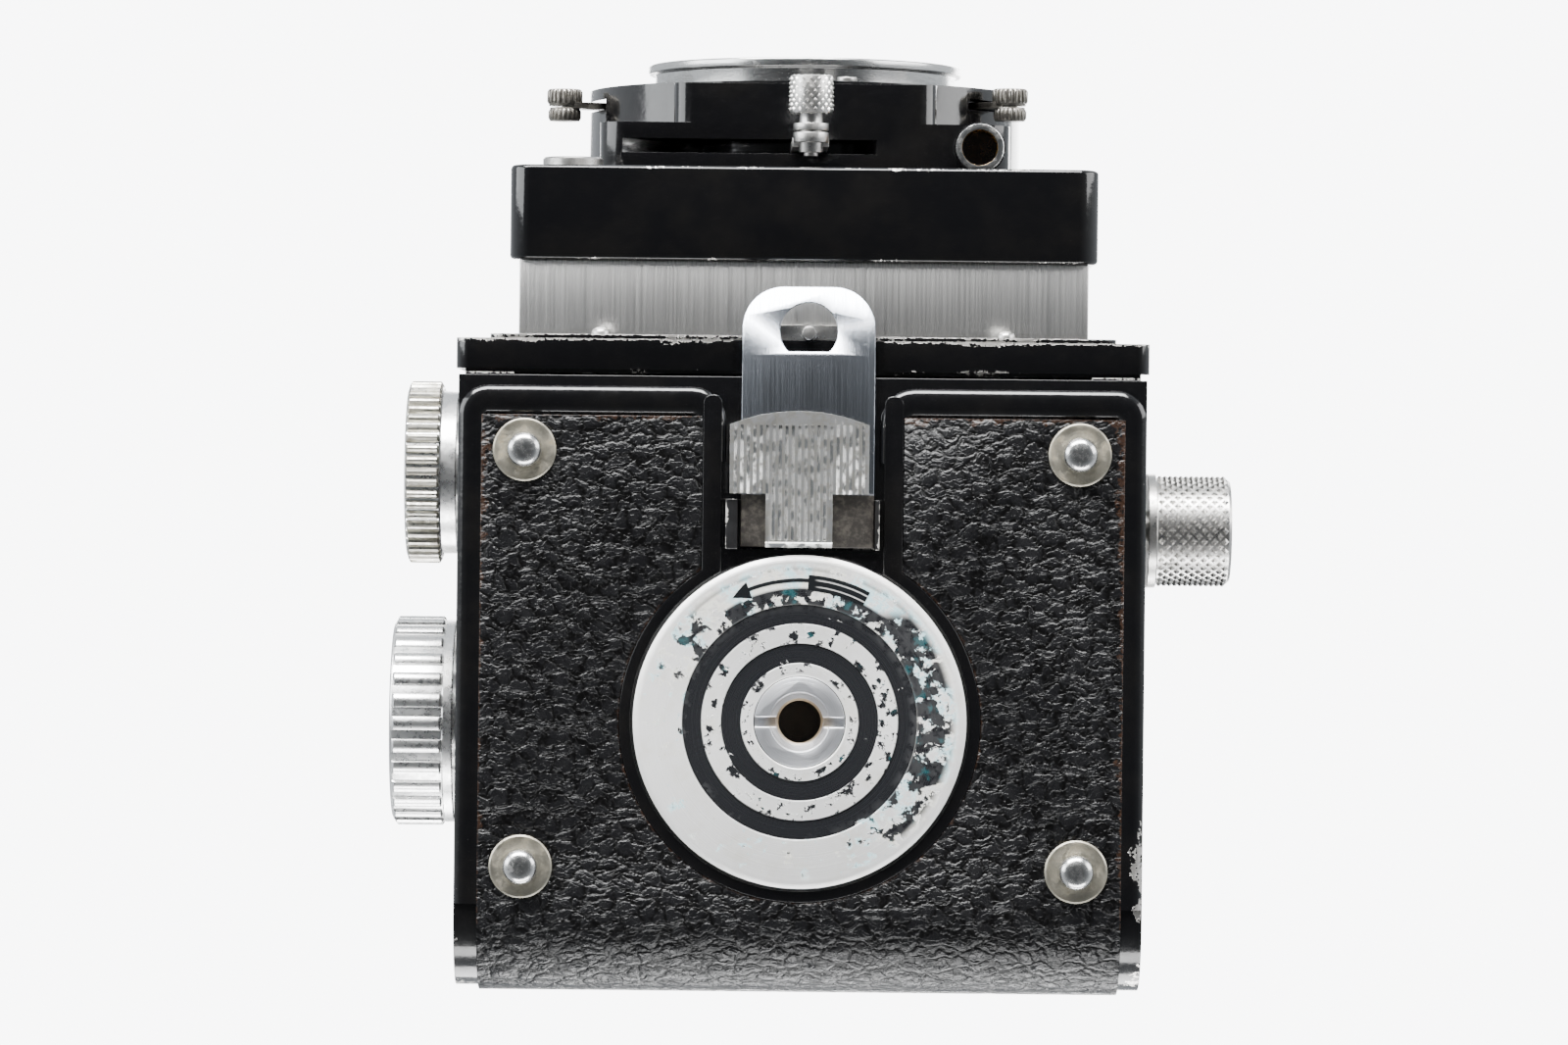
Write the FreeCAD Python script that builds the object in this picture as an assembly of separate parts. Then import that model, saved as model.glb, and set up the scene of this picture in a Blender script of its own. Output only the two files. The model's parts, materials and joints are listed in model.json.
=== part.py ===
"""Twin lens reflex camera, millimetres. +Z is the top (hood), -Y the front (lenses).

The origin is the mouth of the tripod socket in the bottom of the back door.
"""
import FreeCAD, Part
import math
import os
from FreeCAD import Vector

os.makedirs("parts", exist_ok=True)

# body box
BODY_X = 37.2            # half width over the back door
FRONT_Y = -37.2          # front edge of the back door
BACK_Y = 29.3            # outer face of the back door
DOOR_OUT = 1.4           # painted underside of the door, above the socket mouth
SHEET = 1.4              # thickness of the door sheet
DOOR_IN = DOOR_OUT + SHEET
CORNER_R = 8.5           # outer radius of the bottom back corner
LEATHER_TOP = 106.0      # upper end of the leather and the lips on the back
DECK = (117.5, 119.3)    # top deck of the body
WALL_IN = 34.9           # inner face of the side walls
WALL_OUT = 36.6
LEATHER = 0.5
STRAP_LUG = (-5.0, 108.0)

# optics
TAKING_Z = 46.0
VIEWING_Z = 90.0
GATE_Z = (18.0, 74.0)
GATE_X = 28.0
MIRROR_OFFSET = 97.0     # the mirror face is the plane z = y + this
MIRROR_SPAN = (-24.0, 19.0)
SCREEN_Y = -7.0

# lens standard
STANDARD_X = 31.0
STANDARD_Z = (6.9, 112.0)
BOARD_X = 32.1
BOARD_Y = (-60.2, -49.9)
BOARD_Z = (6.2, 113.0)
DRUM_R = 24.7
DRUM_Y = -70.6
FRAME_Y = (-41.2, -37.9)
FRAME_PLATE_Y = -41.7
COCKING_REACH = 35.4     # from the taking lens axis to the lever's knurled tip
FLASH = (19.3, -63.1)    # x, y of the flash socket's axis
FLASH_BORE_R = 1.95
FLASH_MOUTH_Z = 16.4
HOUSING_SCREW = (4.6, 23.5)
FRAME_SCREWS = ((-22.0, 5.0), (-22.0, 115.4), (22.0, 5.0), (22.0, 115.4))

# film transport
SUPPLY = (-21.0, 15.8)   # y, z of the supply spool and the pull-out knob
TAKE_UP = (13.6, 89.0)
WIND = (3.0, 89.0)
SPOOL_R = 12.4
SPOOL_X = 32.6
ROLLERS = ((22.2, 15.0), (22.2, 77.0))
ROLLER_R = 1.8
GEAR_TEETH = 20
FOCUS = (-27.0, 65.2)
PINION_R = 1.4

# door hinge and latch
HINGE = (29.0, 112.5)
HINGE_R = 1.8
PIN_R = 0.8
DISC_R = 18.0
RIM_Z = 0.8              # crest of the pressed rim and ribs round the disc and the latch
BUSH_R = 4.9
SOCKET_R = 2.55
SOCKET_DEEP = 6.2
STRAP_X = 0.6            # centre of the latch tongue
STRAP_W = 14.4
STRAP_Z = (0.4, 1.2)
THUMB_Z = -0.7            # face of the ribbed grip
RIB_PITCH = 0.69
BEND_Y = -39.5
BEND_DEG = 22.0
TIP_Y = -47.1
THUMB_X = -0.3
FOOT_TIP = -1.4
RIVET_R = 0.95
FEET = ((-30.0, -29.1), (30.0, -28.6), (-30.0, 15.4), (29.9, 15.9))

# hood: hinge heights of the flaps, the back flap and the lid
FLAP_Z = 122.9
BACK_FLAP_Z = 128.2
LID_Z = 133.2
FLAP_X = 30.0
BACK_FLAP_Y = 24.0
LID_Y = -35.2
FLAP_HIGH = 27.0
BACK_FLAP_LONG = 30.0
MAGNIFIER_Y = LID_Y + 31.0
MAGNIFIER_Z = 132.4

AXES = {"x": Vector(1, 0, 0), "y": Vector(0, 1, 0), "z": Vector(0, 0, 1)}


def box(x, y, z):
    """A box from three (low, high) pairs."""
    size = [high - low for low, high in (x, y, z)]
    return Part.makeBox(size[0], size[1], size[2], Vector(x[0], y[0], z[0]))


def point_on(axis, along, centre):
    """A point given by its place along an axis and the two other coordinates."""
    u, v = centre
    if axis == "x":
        return Vector(along, u, v)
    if axis == "y":
        return Vector(u, along, v)
    return Vector(u, v, along)


def rod(axis, centre, radius, span):
    return Part.makeCylinder(radius, span[1] - span[0], point_on(axis, span[0], centre), AXES[axis])


def ring(axis, centre, outer, inner, span):
    return rod(axis, centre, outer, span).cut(rod(axis, centre, inner, span))


def fuse(shapes):
    first = shapes[0]
    joined = first.fuse(list(shapes[1:])) if len(shapes) > 1 else first
    return joined.removeSplitter()


def cut(shape, tools):
    return shape.cut(Part.makeCompound(list(tools))) if tools else shape


def prism(axis, points, span):
    """A straight prism on a closed outline of (u, v) points across an axis."""
    corners = [point_on(axis, span[0], p) for p in points]
    face = Part.Face(Part.makePolygon(corners + [corners[0]]))
    return face.extrude(AXES[axis] * (span[1] - span[0]))


def rounded_plate(axis, u, v, radius, span):
    """A rectangular plate across an axis whose four corners are rounded."""
    wide = prism(axis, [(u[0], v[0] + radius), (u[1], v[0] + radius), (u[1], v[1] - radius),
                        (u[0], v[1] - radius)], span)
    tall = prism(axis, [(u[0] + radius, v[0]), (u[1] - radius, v[0]), (u[1] - radius, v[1]),
                        (u[0] + radius, v[1])], span)
    corners = [rod(axis, (cu, cv), radius, span)
               for cu in (u[0] + radius, u[1] - radius) for cv in (v[0] + radius, v[1] - radius)]
    return fuse([wide, tall] + corners)


def toothed(axis, centre, root, tip, teeth, span, root_part, tip_part, turn=0.0):
    """A toothed disc; the parts are half widths of a tooth as fractions of the pitch."""
    pitch = 2 * math.pi / teeth
    outline = []
    for k in range(teeth):
        for radius, part in ((root, -root_part), (tip, -tip_part), (tip, tip_part), (root, root_part)):
            angle = turn + (k + part) * pitch
            outline.append((centre[0] + radius * math.cos(angle), centre[1] + radius * math.sin(angle)))
    return prism(axis, outline, span)


def mirrored(shape):
    return shape.mirror(Vector(0, 0, 0), AXES["x"])


def save(name, shape):
    shape.exportStep("parts/" + name + ".step")


def corner_sheet(depth, thickness, x, y_front, z_top):
    """An L of sheet along the bottom and the back; depth is measured in from the door's outside."""
    outer = CORNER_R - depth
    inner = outer - thickness
    cy = BACK_Y - CORNER_R
    cz = DOOR_OUT + CORNER_R
    half = math.sqrt(0.5)

    def at(y, z):
        return Vector(x[0], y, z)

    edges = [
        Part.makeLine(at(y_front, cz - outer), at(cy, cz - outer)),
        Part.Arc(at(cy, cz - outer), at(cy + outer * half, cz - outer * half), at(cy + outer, cz)).toShape(),
        Part.makeLine(at(cy + outer, cz), at(cy + outer, z_top)),
        Part.makeLine(at(cy + outer, z_top), at(cy + inner, z_top)),
        Part.makeLine(at(cy + inner, z_top), at(cy + inner, cz)),
        Part.Arc(at(cy + inner, cz), at(cy + inner * half, cz - inner * half), at(cy, cz - inner)).toShape(),
        Part.makeLine(at(cy, cz - inner), at(y_front, cz - inner)),
        Part.makeLine(at(y_front, cz - inner), at(y_front, cz - outer)),
    ]
    return Part.Face(Part.Wire(edges)).extrude(AXES["x"] * (x[1] - x[0]))


# ---------------------------------------------------------------- body

def hinge_spans(mine):
    """Knuckle spans along the door hinge: three on the body, two on the door."""
    edges = (-30.0, -18.0, -6.0, 6.0, 18.0, 30.0)
    spans = [(edges[k] + 0.15, edges[k + 1] - 0.15) for k in range(5)]
    return spans[0::2] if mine == "body" else spans[1::2]


def body_casting():
    low = DOOR_IN + 0.3
    back = BACK_Y - SHEET - 0.4
    side = box((WALL_IN, WALL_OUT), (-37.5, back), (low, DECK[1]))
    corner = 7.0
    notch = box((WALL_IN - 1, WALL_OUT + 1), (back - corner, back + 1), (low - 1, low + corner))
    round_off = rod("x", (back - corner, low + corner), corner, (WALL_IN - 1, WALL_OUT + 1))
    side = side.cut(notch.cut(round_off))
    holes = [rod("x", (cy, cz), 0.9, (WALL_IN - 1, WALL_IN + 0.9)) for cy, cz in ROLLERS]
    side = cut(side, holes)
    right = side.cut(rod("x", SUPPLY, 2.3, (30, 40)))
    left = cut(mirrored(side), [rod("x", WIND, 2.06, (-40, -30)), rod("x", FOCUS, 1.36, (-40, -30)),
                                rod("x", TAKE_UP, 1.06, (-35.8, -34.0))])
    right = right.cut(rod("x", FOCUS, 1.36, (34, 35.8)))
    deck = box((-WALL_IN, WALL_IN), (-37.5, back), DECK)
    deck = deck.cut(box((-GATE_X, GATE_X), (SCREEN_Y - 28, SCREEN_Y + 28), (DECK[0] - 1, DECK[1] + 1)))
    front = box((-WALL_IN, WALL_IN), (-37.5, -35.9), (low, DECK[0]))
    window = box((-STANDARD_X - 0.3, STANDARD_X + 0.3), (-39, -34), (low - 1, STANDARD_Z[1] + 0.3))
    back_bar = box((-WALL_IN, WALL_IN), (back - 3.4, back), (109.0, DECK[0]))
    knuckles = []
    for span in hinge_spans("body"):
        knuckles.append(rod("x", HINGE, HINGE_R, span))
        knuckles.append(box(span, (back - 1, HINGE[0]), (HINGE[1], HINGE[1] + HINGE_R)))
    relief = [rod("x", HINGE, HINGE_R + 0.3, (span[0] - 0.15, span[1] + 0.15))
              for span in hinge_spans("door")]
    shell = fuse([left, right, deck, front.cut(window), back_bar] + knuckles)
    return cut(shell, relief + [rod("x", HINGE, PIN_R, (-31, 31))])


def side_leathers():
    low = 5.5
    outline = [(-36.2, low), (17.0, low), (26.0, low + 9.0), (26.0, 116.5), (-36.2, 116.5)]
    panel = prism("x", outline, (WALL_OUT, WALL_OUT + LEATHER))
    right = cut(panel, [rod("x", SUPPLY, 5.6, (36, 38)), rod("x", STRAP_LUG, 3.6, (36, 38))])
    left = cut(panel, [rod("x", WIND, 6.2, (36, 38)), rod("x", FOCUS, 6.2, (36, 38)),
                       rod("x", STRAP_LUG, 3.6, (36, 38))])
    return Part.makeCompound([right, mirrored(left)])


def strap_lugs():
    lug = fuse([rod("x", STRAP_LUG, 3.5, (WALL_OUT, 37.6)), rod("x", STRAP_LUG, 1.6, (37.6, 39.6)),
                rod("x", STRAP_LUG, 2.6, (39.6, 40.6))])
    return Part.makeCompound([lug, mirrored(lug)])


def frame_openings():
    """The window for the lens standard and the screw holes of the front frame and its plate."""
    x = STANDARD_X + 0.25
    window = box((-x, x), (-43, -36), (STANDARD_Z[0] - 0.25, STANDARD_Z[1] + 0.25))
    return [window] + [rod("y", place, 1.0, (-43, -37)) for place in FRAME_SCREWS]


def front_frame():
    plate = rounded_plate("y", (-37.6, 37.6), (2.9, DECK[1]), 1.5, FRAME_Y)
    latch_gap = box((STRAP_X - 8.2, STRAP_X + 8.2), (-43, -36), (2.0, 3.4))
    backing = box((-36.6, 36.6), (FRAME_Y[1], -37.5), (3.4, DECK[1]))
    return cut(fuse([plate, backing]), frame_openings() + [latch_gap])


def frame_plate():
    plate = rounded_plate("y", (-34.0, 34.0), (3.9, 118.0), 1.5, (FRAME_PLATE_Y, FRAME_Y[0]))
    latch_gap = box((-5.0, 6.0), (-43, -36), (3.0, 7.0))
    return cut(plate, frame_openings() + [latch_gap])


def frame_screws():
    return Part.makeCompound([
        rod("y", place, 1.0, (-42.5, FRAME_PLATE_Y)).fuse(rod("y", place, 0.9, (FRAME_PLATE_Y, -37.7)))
        for place in FRAME_SCREWS])


def catch_stud():
    """The block on the frame that carries the stud under the latch tongue's hole."""
    block = box((-3.9, 5.1), (-42.9, FRAME_Y[0]), (3.9, 6.5))
    return block.fuse(rod("z", (STRAP_X, -42.0), 0.75, (2.5, 4.2)))


def light_chamber():
    def frame_wire(y, half_x, low, high, grow):
        corners = [(-half_x - grow, low - grow), (half_x + grow, low - grow),
                   (half_x + grow, high + grow), (-half_x - grow, high + grow)]
        points = [Vector(x, y, z) for x, z in corners]
        return Part.makePolygon(points + [points[0]])

    front, back = -34.0, 22.0
    skins = [Part.makeLoft([frame_wire(front, 15.0, 33.6, 58.4, grow),
                            frame_wire(back, GATE_X, GATE_Z[0], GATE_Z[1], grow)], True, True)
             for grow in (0.8, 0.0)]
    return skins[0].cut(skins[1])


def film_gate():
    plate = box((-WALL_IN, WALL_IN), (22.0, 23.5), (GATE_Z[0] - 1.0, GATE_Z[1] + 1.0))
    window = box((-GATE_X, GATE_X), (21, 25), GATE_Z)
    rails = [box((x, x + 1.2), (23.5, 23.9), (GATE_Z[0] - 1, GATE_Z[1] + 1))
             for x in (-32.4, -29.4, 28.2, 31.2)]
    return fuse([plate.cut(window)] + rails)


def tilted(y_span, half_widths, depth):
    """A plate lying under the mirror plane: its two y ends, its half width at each, its depths."""
    (y0, y1), (w0, w1), (d0, d1) = y_span, half_widths, depth
    faces = []
    for d in (d0, d1):
        shift = d * math.sqrt(0.5)
        points = [Vector(x, y + shift, y + MIRROR_OFFSET - shift)
                  for x, y in ((-w0, y0), (w0, y0), (w1, y1), (-w1, y1))]
        faces.append(Part.makePolygon(points + [points[0]]))
    return Part.makeLoft(faces, True, True)


def mirror_holder():
    return tilted(MIRROR_SPAN, (32.4, 32.4), (1.2, 2.0))


def viewing_mirror():
    return tilted(MIRROR_SPAN, (17.0, 27.5), (0.0, 1.2))


def focusing_screen():
    return box((-28.6, 28.6), (SCREEN_Y - 28.6, SCREEN_Y + 28.6), (DECK[1], DECK[1] + 1.2))


def screen_frame():
    z = (DECK[1], DECK[1] + 1.7)
    outer = box((-30.0, 30.0), (SCREEN_Y - 29.2, SCREEN_Y + 30.0), z)
    seat = box((-28.6, 28.6), (SCREEN_Y - 28.6, SCREEN_Y + 28.6), (z[0] - 1, z[0] + 1.2))
    view = box((-27.0, 27.0), (SCREEN_Y - 27.0, SCREEN_Y + 27.0), (z[0] - 1, z[1] + 1))
    return cut(outer, [seat, view])


def spool_pivots():
    supply = rod("x", SUPPLY, 2.2, (-WALL_IN, -29.0))
    take_up = rod("x", TAKE_UP, 2.2, (29.0, WALL_IN))
    return Part.makeCompound([supply, take_up])


# ---------------------------------------------------------------- back door

def latch_channel_ribs():
    """Two raised ribs beside the latch, running back into the rim round the lock disc."""
    ribs = [rounded_plate("z", (x, x + 2.0), (-35.2, -15.0), 0.9, (RIM_Z, DOOR_OUT + 0.2))
            for x in (-10.7, 8.9)]
    return [rib.cut(rod("z", (0, 0), DISC_R + 0.4, (0, 2))) for rib in ribs]


def rivet_holes():
    return [rod("z", foot, RIVET_R, (0, 4)) for foot in FEET]


def door_shell():
    sheet = corner_sheet(0.0, SHEET, (-BODY_X, BODY_X), FRONT_Y, HINGE[1] - 2.4)
    lip = corner_sheet(SHEET, 2.2, (33.3, 34.5), FRONT_Y + 2.0, LEATHER_TOP)
    rim = ring("z", (0, 0), 19.5, DISC_R + 0.3, (RIM_Z, DOOR_OUT + 0.2))
    rim = rim.cut(box((-8.7, 8.9), (-25, -10), (0, DOOR_OUT)))
    knuckles = []
    for span in hinge_spans("door"):
        knuckles.append(rod("x", HINGE, HINGE_R, span))
        knuckles.append(box(span, (BACK_Y - SHEET, BACK_Y), (HINGE[1] - 4.0, HINGE[1])))
    shell = fuse([sheet, lip, mirrored(lip), rim] + latch_channel_ribs() + knuckles)
    openings = [rod("x", HINGE, PIN_R + 0.06, (-31, 31)), rod("z", (0, 0), BUSH_R, (0, 4))]
    return cut(shell, openings + rivet_holes())


def door_hinge_pin():
    return rod("x", HINGE, PIN_R, (-30, 30))


def door_leather():
    sheet = corner_sheet(-LEATHER, LEATHER, (-34.7, 34.9), -32.9, LEATHER_TOP)
    channel = box((-10.75, 10.95), (-40, -12), (0, DOOR_OUT + 1))
    return cut(sheet, [channel, rod("z", (0, 0), 19.55, (0, DOOR_OUT + 1))] + rivet_holes())


def foot_washers():
    return Part.makeCompound([ring("z", foot, 3.4, 1.0, (0.45, 0.9)) for foot in FEET])


def foot_rivets():
    feet = []
    for foot in FEET:
        dome = Part.makeSphere(2.6, Vector(foot[0], foot[1], 0.9))
        slab = rod("z", foot, 1.85, (FOOT_TIP, 0.45))
        feet.append(dome.common(slab).fuse(rod("z", foot, RIVET_R, (0.2, 2.6))))
    return Part.makeCompound(feet)


def tripod_plate():
    return ring("z", (0, 0), 12.0, BUSH_R, (DOOR_IN, DOOR_IN + 1.0))


def tripod_bush():
    bush = fuse([rod("z", (0, 0), BUSH_R, (0, 7.0)), rod("z", (0, 0), 6.2, (3.8, 5.2))])
    socket = rod("z", (0, 0), SOCKET_R, (-1, SOCKET_DEEP))
    mouth = rod("z", (0, 0), 3.2, (-1, 0.4))
    slots = [box(x, (-0.5, 0.5), (-1, 0.9)) for x in ((-BUSH_R, -2.0), (2.0, BUSH_R))]
    return cut(bush, [socket, mouth] + slots)


def lock_disc():
    disc = ring("z", (0, 0), DISC_R, BUSH_R + 0.08, (0, 1.1))
    grooves = [ring("z", (0, 0), outer, inner, (-1, 0.15)) for outer, inner in ((12.7, 10.6), (8.5, 6.35))]
    bevel = rod("z", (0, 0), DISC_R + 1, (-0.1, 0.35)).cut(
        Part.makeCone(DISC_R - 0.5, DISC_R + 0.05, 0.46, Vector(0, 0, -0.1)))
    return cut(disc, grooves + [bevel])


def latch_slide():
    """The dark slide in the channel: two cheeks beside the tongue's tail, joined by a strip under it."""
    strip = box((-8.2, 8.4), (-24.0, -18.6), (1.26, 1.38))
    cheeks = [box(x, (-24.0, -18.6), (-0.2, 1.38)) for x in ((-8.2, -6.9), (7.9, 8.4))]
    cheeks = [cheek.cut(rod("z", (0, 0), DISC_R + 0.3, (-1, 2))) for cheek in cheeks]
    return fuse([strip] + cheeks)


def latch_tongue():
    half = STRAP_W / 2
    x = (STRAP_X - half, STRAP_X + half)
    slope = math.tan(math.radians(BEND_DEG))
    rise = (BEND_Y - TIP_Y) * slope
    z0, z1 = STRAP_Z
    profile = [(-18.8, z0), (BEND_Y, z0), (TIP_Y, z0 + rise), (TIP_Y, z1 + rise), (BEND_Y, z1), (-18.8, z1)]
    strap = prism("x", profile, x)
    tip_r = 4.5
    rounding = box((x[0] - 1, x[1] + 1), (TIP_Y - 1, TIP_Y + tip_r), (-2, 8))
    keep = fuse([rod("z", (x[0] + tip_r, TIP_Y + tip_r), tip_r, (-3, 9)),
                 rod("z", (x[1] - tip_r, TIP_Y + tip_r), tip_r, (-3, 9)),
                 box((x[0] + tip_r, x[1] - tip_r), (TIP_Y, TIP_Y + tip_r + 1), (-3, 9))])
    hole = rod("z", (STRAP_X, -42.2), 3.1, (-3, 9)).common(box((-5, 6), (-46, -40.0), (-3, 9)))
    neck = box((-8, 9), (-24.2, -18), (-1, 3)).cut(box((-6.9, 7.8), (-25, -17), (-2, 4)))
    return cut(strap, [rounding.cut(keep), hole, neck])


def latch_thumb_piece():
    """The ribbed grip riveted on the tongue: a wide arched head and a narrow stem."""
    head = box((THUMB_X - 7.5, THUMB_X + 7.5), (-33.5, -24.6), (THUMB_Z, STRAP_Z[0]))
    arch = rod("z", (THUMB_X, -33.5 + 20.0), 20.0, (-2, 2))
    stem = box((THUMB_X - 3.6, THUMB_X + 3.6), (-25.0, -18.8), (THUMB_Z, STRAP_Z[0]))
    foot = prism("x", [(-19.4, THUMB_Z - 1), (-19.4, THUMB_Z), (-18.7, -0.1), (-18.7, THUMB_Z - 1)], (-9, 9))
    grooves = []
    for k in range(-10, 11):
        x = THUMB_X + RIB_PITCH * k
        end = -19.6 if abs(x - THUMB_X) < 3.2 else -24.0
        grooves.append(box((x - 0.17, x + 0.17), (-32.0, end), (THUMB_Z - 0.1, THUMB_Z + 0.25)))
    return cut(fuse([head.common(arch), stem]), grooves + [foot])


def pressure_plate():
    return box((-30.5, 30.5), (24.3, 25.2), (16.5, 75.5))


def pressure_spring():
    """A leaf held in the middle of the door, its two arms bowed towards the plate."""
    foot = box((-5, 5), (27.0, 27.9), (36, 56))
    outline = [(27.9, 36), (27.9, 56), (26.6, 66), (26.3, 66),
               (27.3, 54), (27.3, 38), (26.3, 26), (26.6, 26)]
    return fuse([foot, prism("x", outline, (-4, 4))])


# ---------------------------------------------------------------- lens standard

def lens_standard():
    y = (BOARD_Y[1], -40.2)
    tube = box((-STANDARD_X, STANDARD_X), y, STANDARD_Z)
    inner_x = STANDARD_X - 1.2
    bore = box((-inner_x, inner_x), (-60, -30), (STANDARD_Z[0] + 1.2, STANDARD_Z[1] - 1.2))
    rack = box((29.8, STANDARD_X), (-41.0, -18.0), (60.5, FOCUS[1] - PINION_R - 0.05))
    return fuse([tube.cut(bore), rack, mirrored(rack)])


def lens_board():
    board = rounded_plate("y", (-BOARD_X, BOARD_X), BOARD_Z, 2.5, BOARD_Y)
    hollow = rounded_plate("y", (-BOARD_X + 1.5, BOARD_X - 1.5), (BOARD_Z[0] + 1.5, BOARD_Z[1] - 1.5), 1.5,
                           (BOARD_Y[0] + 1.6, BOARD_Y[1] - 1.2))
    openings = [rod("y", (0, TAKING_Z), 16.0, (-62, -48)), rod("y", (0, VIEWING_Z), 15.0, (-62, -48))]
    return cut(board, [hollow] + openings)


def board_cover_disc():
    return rod("y", (-25.4, 11.0), 3.3, (-61.2, BOARD_Y[0]))


def sector_slot(radii, y, degrees):
    """An annular slot round the taking lens; degrees run from straight down towards +X."""
    low, high = [math.radians(d) for d in degrees]
    reach = 60.0
    steps = 6
    fan = [(0.0, TAKING_Z)]
    for k in range(steps + 1):
        angle = low + (high - low) * k / steps
        fan.append((reach * math.sin(angle), TAKING_Z - reach * math.cos(angle)))
    return ring("y", (0, TAKING_Z), radii[1], radii[0], y).common(prism("y", fan, y))


def shutter_housing():
    drum = rod("y", (0, TAKING_Z), DRUM_R, (DRUM_Y, BOARD_Y[0]))
    chin = rounded_plate("y", (-22.8, 22.8), (20.0, 46.0), 3.0, (-65.8, BOARD_Y[0]))
    nose = rounded_plate("y", (-14.6, 14.6), (20.0, 46.0), 2.0, (-70.2, -65.0))
    boss = rod("z", FLASH, 2.85, (18.0, 24.0))
    bore = rod("y", (0, TAKING_Z), 16.2, (-72, -60))
    slots = [sector_slot((18.5, 34.0), (-64.0, -62.4), (-38.0, 17.0)),
             sector_slot((20.0, 34.0), (-69.3, -68.1), (-112.0, -66.0)),
             sector_slot((20.0, 34.0), (-69.3, -68.1), (48.0, 94.0))]
    socket = rod("z", FLASH, 2.7, (10.0, 22.0))
    screw_hole = rod("y", HOUSING_SCREW, 0.8, (-71.0, -68.2))
    return cut(fuse([drum, chin, nose, boss]), [bore, socket, screw_hole] + slots)


def housing_screw():
    head = rod("y", HOUSING_SCREW, 1.1, (-71.2, DRUM_Y))
    return fuse([head, rod("y", HOUSING_SCREW, 0.8, (-70.7, -68.2))])


def flash_socket():
    sleeve = ring("z", FLASH, 2.65, FLASH_BORE_R, (FLASH_MOUTH_Z, 21.5))
    floor = rod("z", FLASH, 2.65, (20.6, 21.6))
    return fuse([sleeve, floor])


def accessory_rings():
    """The bright bayonet rings in front of both lenses: a tube with a wider lip."""
    rings = []
    for z in (TAKING_Z, VIEWING_Z):
        tube = ring("y", (0, z), 17.2, 15.6, (-73.0, DRUM_Y))
        lip = ring("y", (0, z), 18.0, 15.6, (-73.7, -72.7))
        rings.append(tube.fuse(lip).removeSplitter())
    return Part.makeCompound(rings)


def lens_barrel():
    barrel = ring("y", (0, TAKING_Z), 15.5, 11.2, (-72.6, -52.0))
    cone = Part.makeCone(15.0, 11.2, 3.0, Vector(0, -72.7, TAKING_Z), AXES["y"])
    seat = ring("y", (0, TAKING_Z), 12.0, 10.2, (-66.5, -65.5))
    return fuse([barrel.cut(cone), seat])


def lens_glass(axis, centre, half, span, bulge):
    """A glass with a cylindrical edge over the span and two faces bulging beyond it."""
    radius = (half * half + bulge * bulge) / (2 * bulge)
    latitude = math.degrees(math.asin((radius - bulge) / radius))
    pieces = [rod(axis, centre, half, span)]
    for along, way in ((span[1], 1), (span[0], -1)):
        middle = point_on(axis, along - way * (radius - bulge), centre)
        pieces.append(Part.makeSphere(radius, middle, AXES[axis] * way, latitude, 90, 360))
    return fuse(pieces)


def iris_diaphragm():
    return ring("y", (0, TAKING_Z), 11.1, 5.0, (-61.0, -60.6))


def viewing_bezel():
    drum = rod("y", (0, VIEWING_Z), 20.5, (DRUM_Y, BOARD_Y[0]))
    bridge = box((-12.0, 12.0), (-66.0, BOARD_Y[0]), (68.0, 76.0))
    bore = rod("y", (0, VIEWING_Z), 14.0, (-72, -60))
    mouth = Part.makeCone(15.6, 14.0, 3.0, Vector(0, DRUM_Y - 0.01, VIEWING_Z), AXES["y"])
    clear = rod("y", (0, TAKING_Z), DRUM_R + 0.02, (-72, -60))
    return cut(fuse([drum, bridge]), [bore, mouth, clear])


def lever_arm(angle, radii, width, y):
    """A radial arm round the taking lens at an angle from straight down towards +X."""
    arm = box((-width / 2, width / 2), y, (TAKING_Z - radii[1], TAKING_Z - radii[0]))
    arm.rotate(Vector(0, 0, TAKING_Z), AXES["y"], -angle)
    return arm


def lever_point(angle, radius):
    turn = math.radians(angle)
    return (radius * math.sin(turn), TAKING_Z - radius * math.cos(turn))


def cocking_lever():
    angle = 1.0
    centre = lever_point(angle, COCKING_REACH)
    arm = lever_arm(angle, (19.0, COCKING_REACH - 1.0), 4.0, (-63.7, -62.7))
    return fuse([arm, rod("y", centre, 2.3, (-70.4, -66.3)), rod("y", centre, 1.3, (-66.4, -62.0)),
                 rod("y", centre, 1.95, (-65.2, -64.4)), rod("y", centre, 1.95, (-64.2, -63.1)),
                 rod("y", centre, 0.8, (-62.1, -61.6))])


def side_lever(angle, radius):
    centre = lever_point(angle, radius)
    arm = lever_arm(angle, (20.6, radius), 3.2, (-69.0, -68.3))
    return fuse([arm, rod("y", centre, 1.8, (-70.5, -68.6)), rod("y", centre, 1.7, (-68.4, -66.9))])


# ---------------------------------------------------------------- knobs, spools, rollers

def wind_knob():
    fluted = toothed("x", WIND, 12.2, 12.7, 28, (-49.0, -42.6), 0.36, 0.22)
    rim = rod("x", WIND, 12.3, (-42.6, -41.4))
    skirt = rod("x", WIND, 6.0, (-41.4, -37.4))
    dish = rod("x", WIND, 9.4, (-49.5, -48.4))
    return cut(fuse([fluted, rim, skirt]), [dish])


def wind_shaft():
    shaft = rod("x", WIND, 2.0, (-37.4, -33.2))
    gear = toothed("x", WIND, 4.7, 5.72, GEAR_TEETH, (-34.6, -33.3), 0.25, 0.11)
    return fuse([shaft, gear])


def take_up_gear():
    half_pitch = math.pi / GEAR_TEETH
    gear = toothed("x", TAKE_UP, 4.7, 5.72, GEAR_TEETH, (-34.6, -33.3), 0.25, 0.11, half_pitch)
    return fuse([gear, rod("x", TAKE_UP, 1.0, (-35.6, -34.5)), rod("x", TAKE_UP, 2.2, (-33.4, -29.0))])


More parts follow.
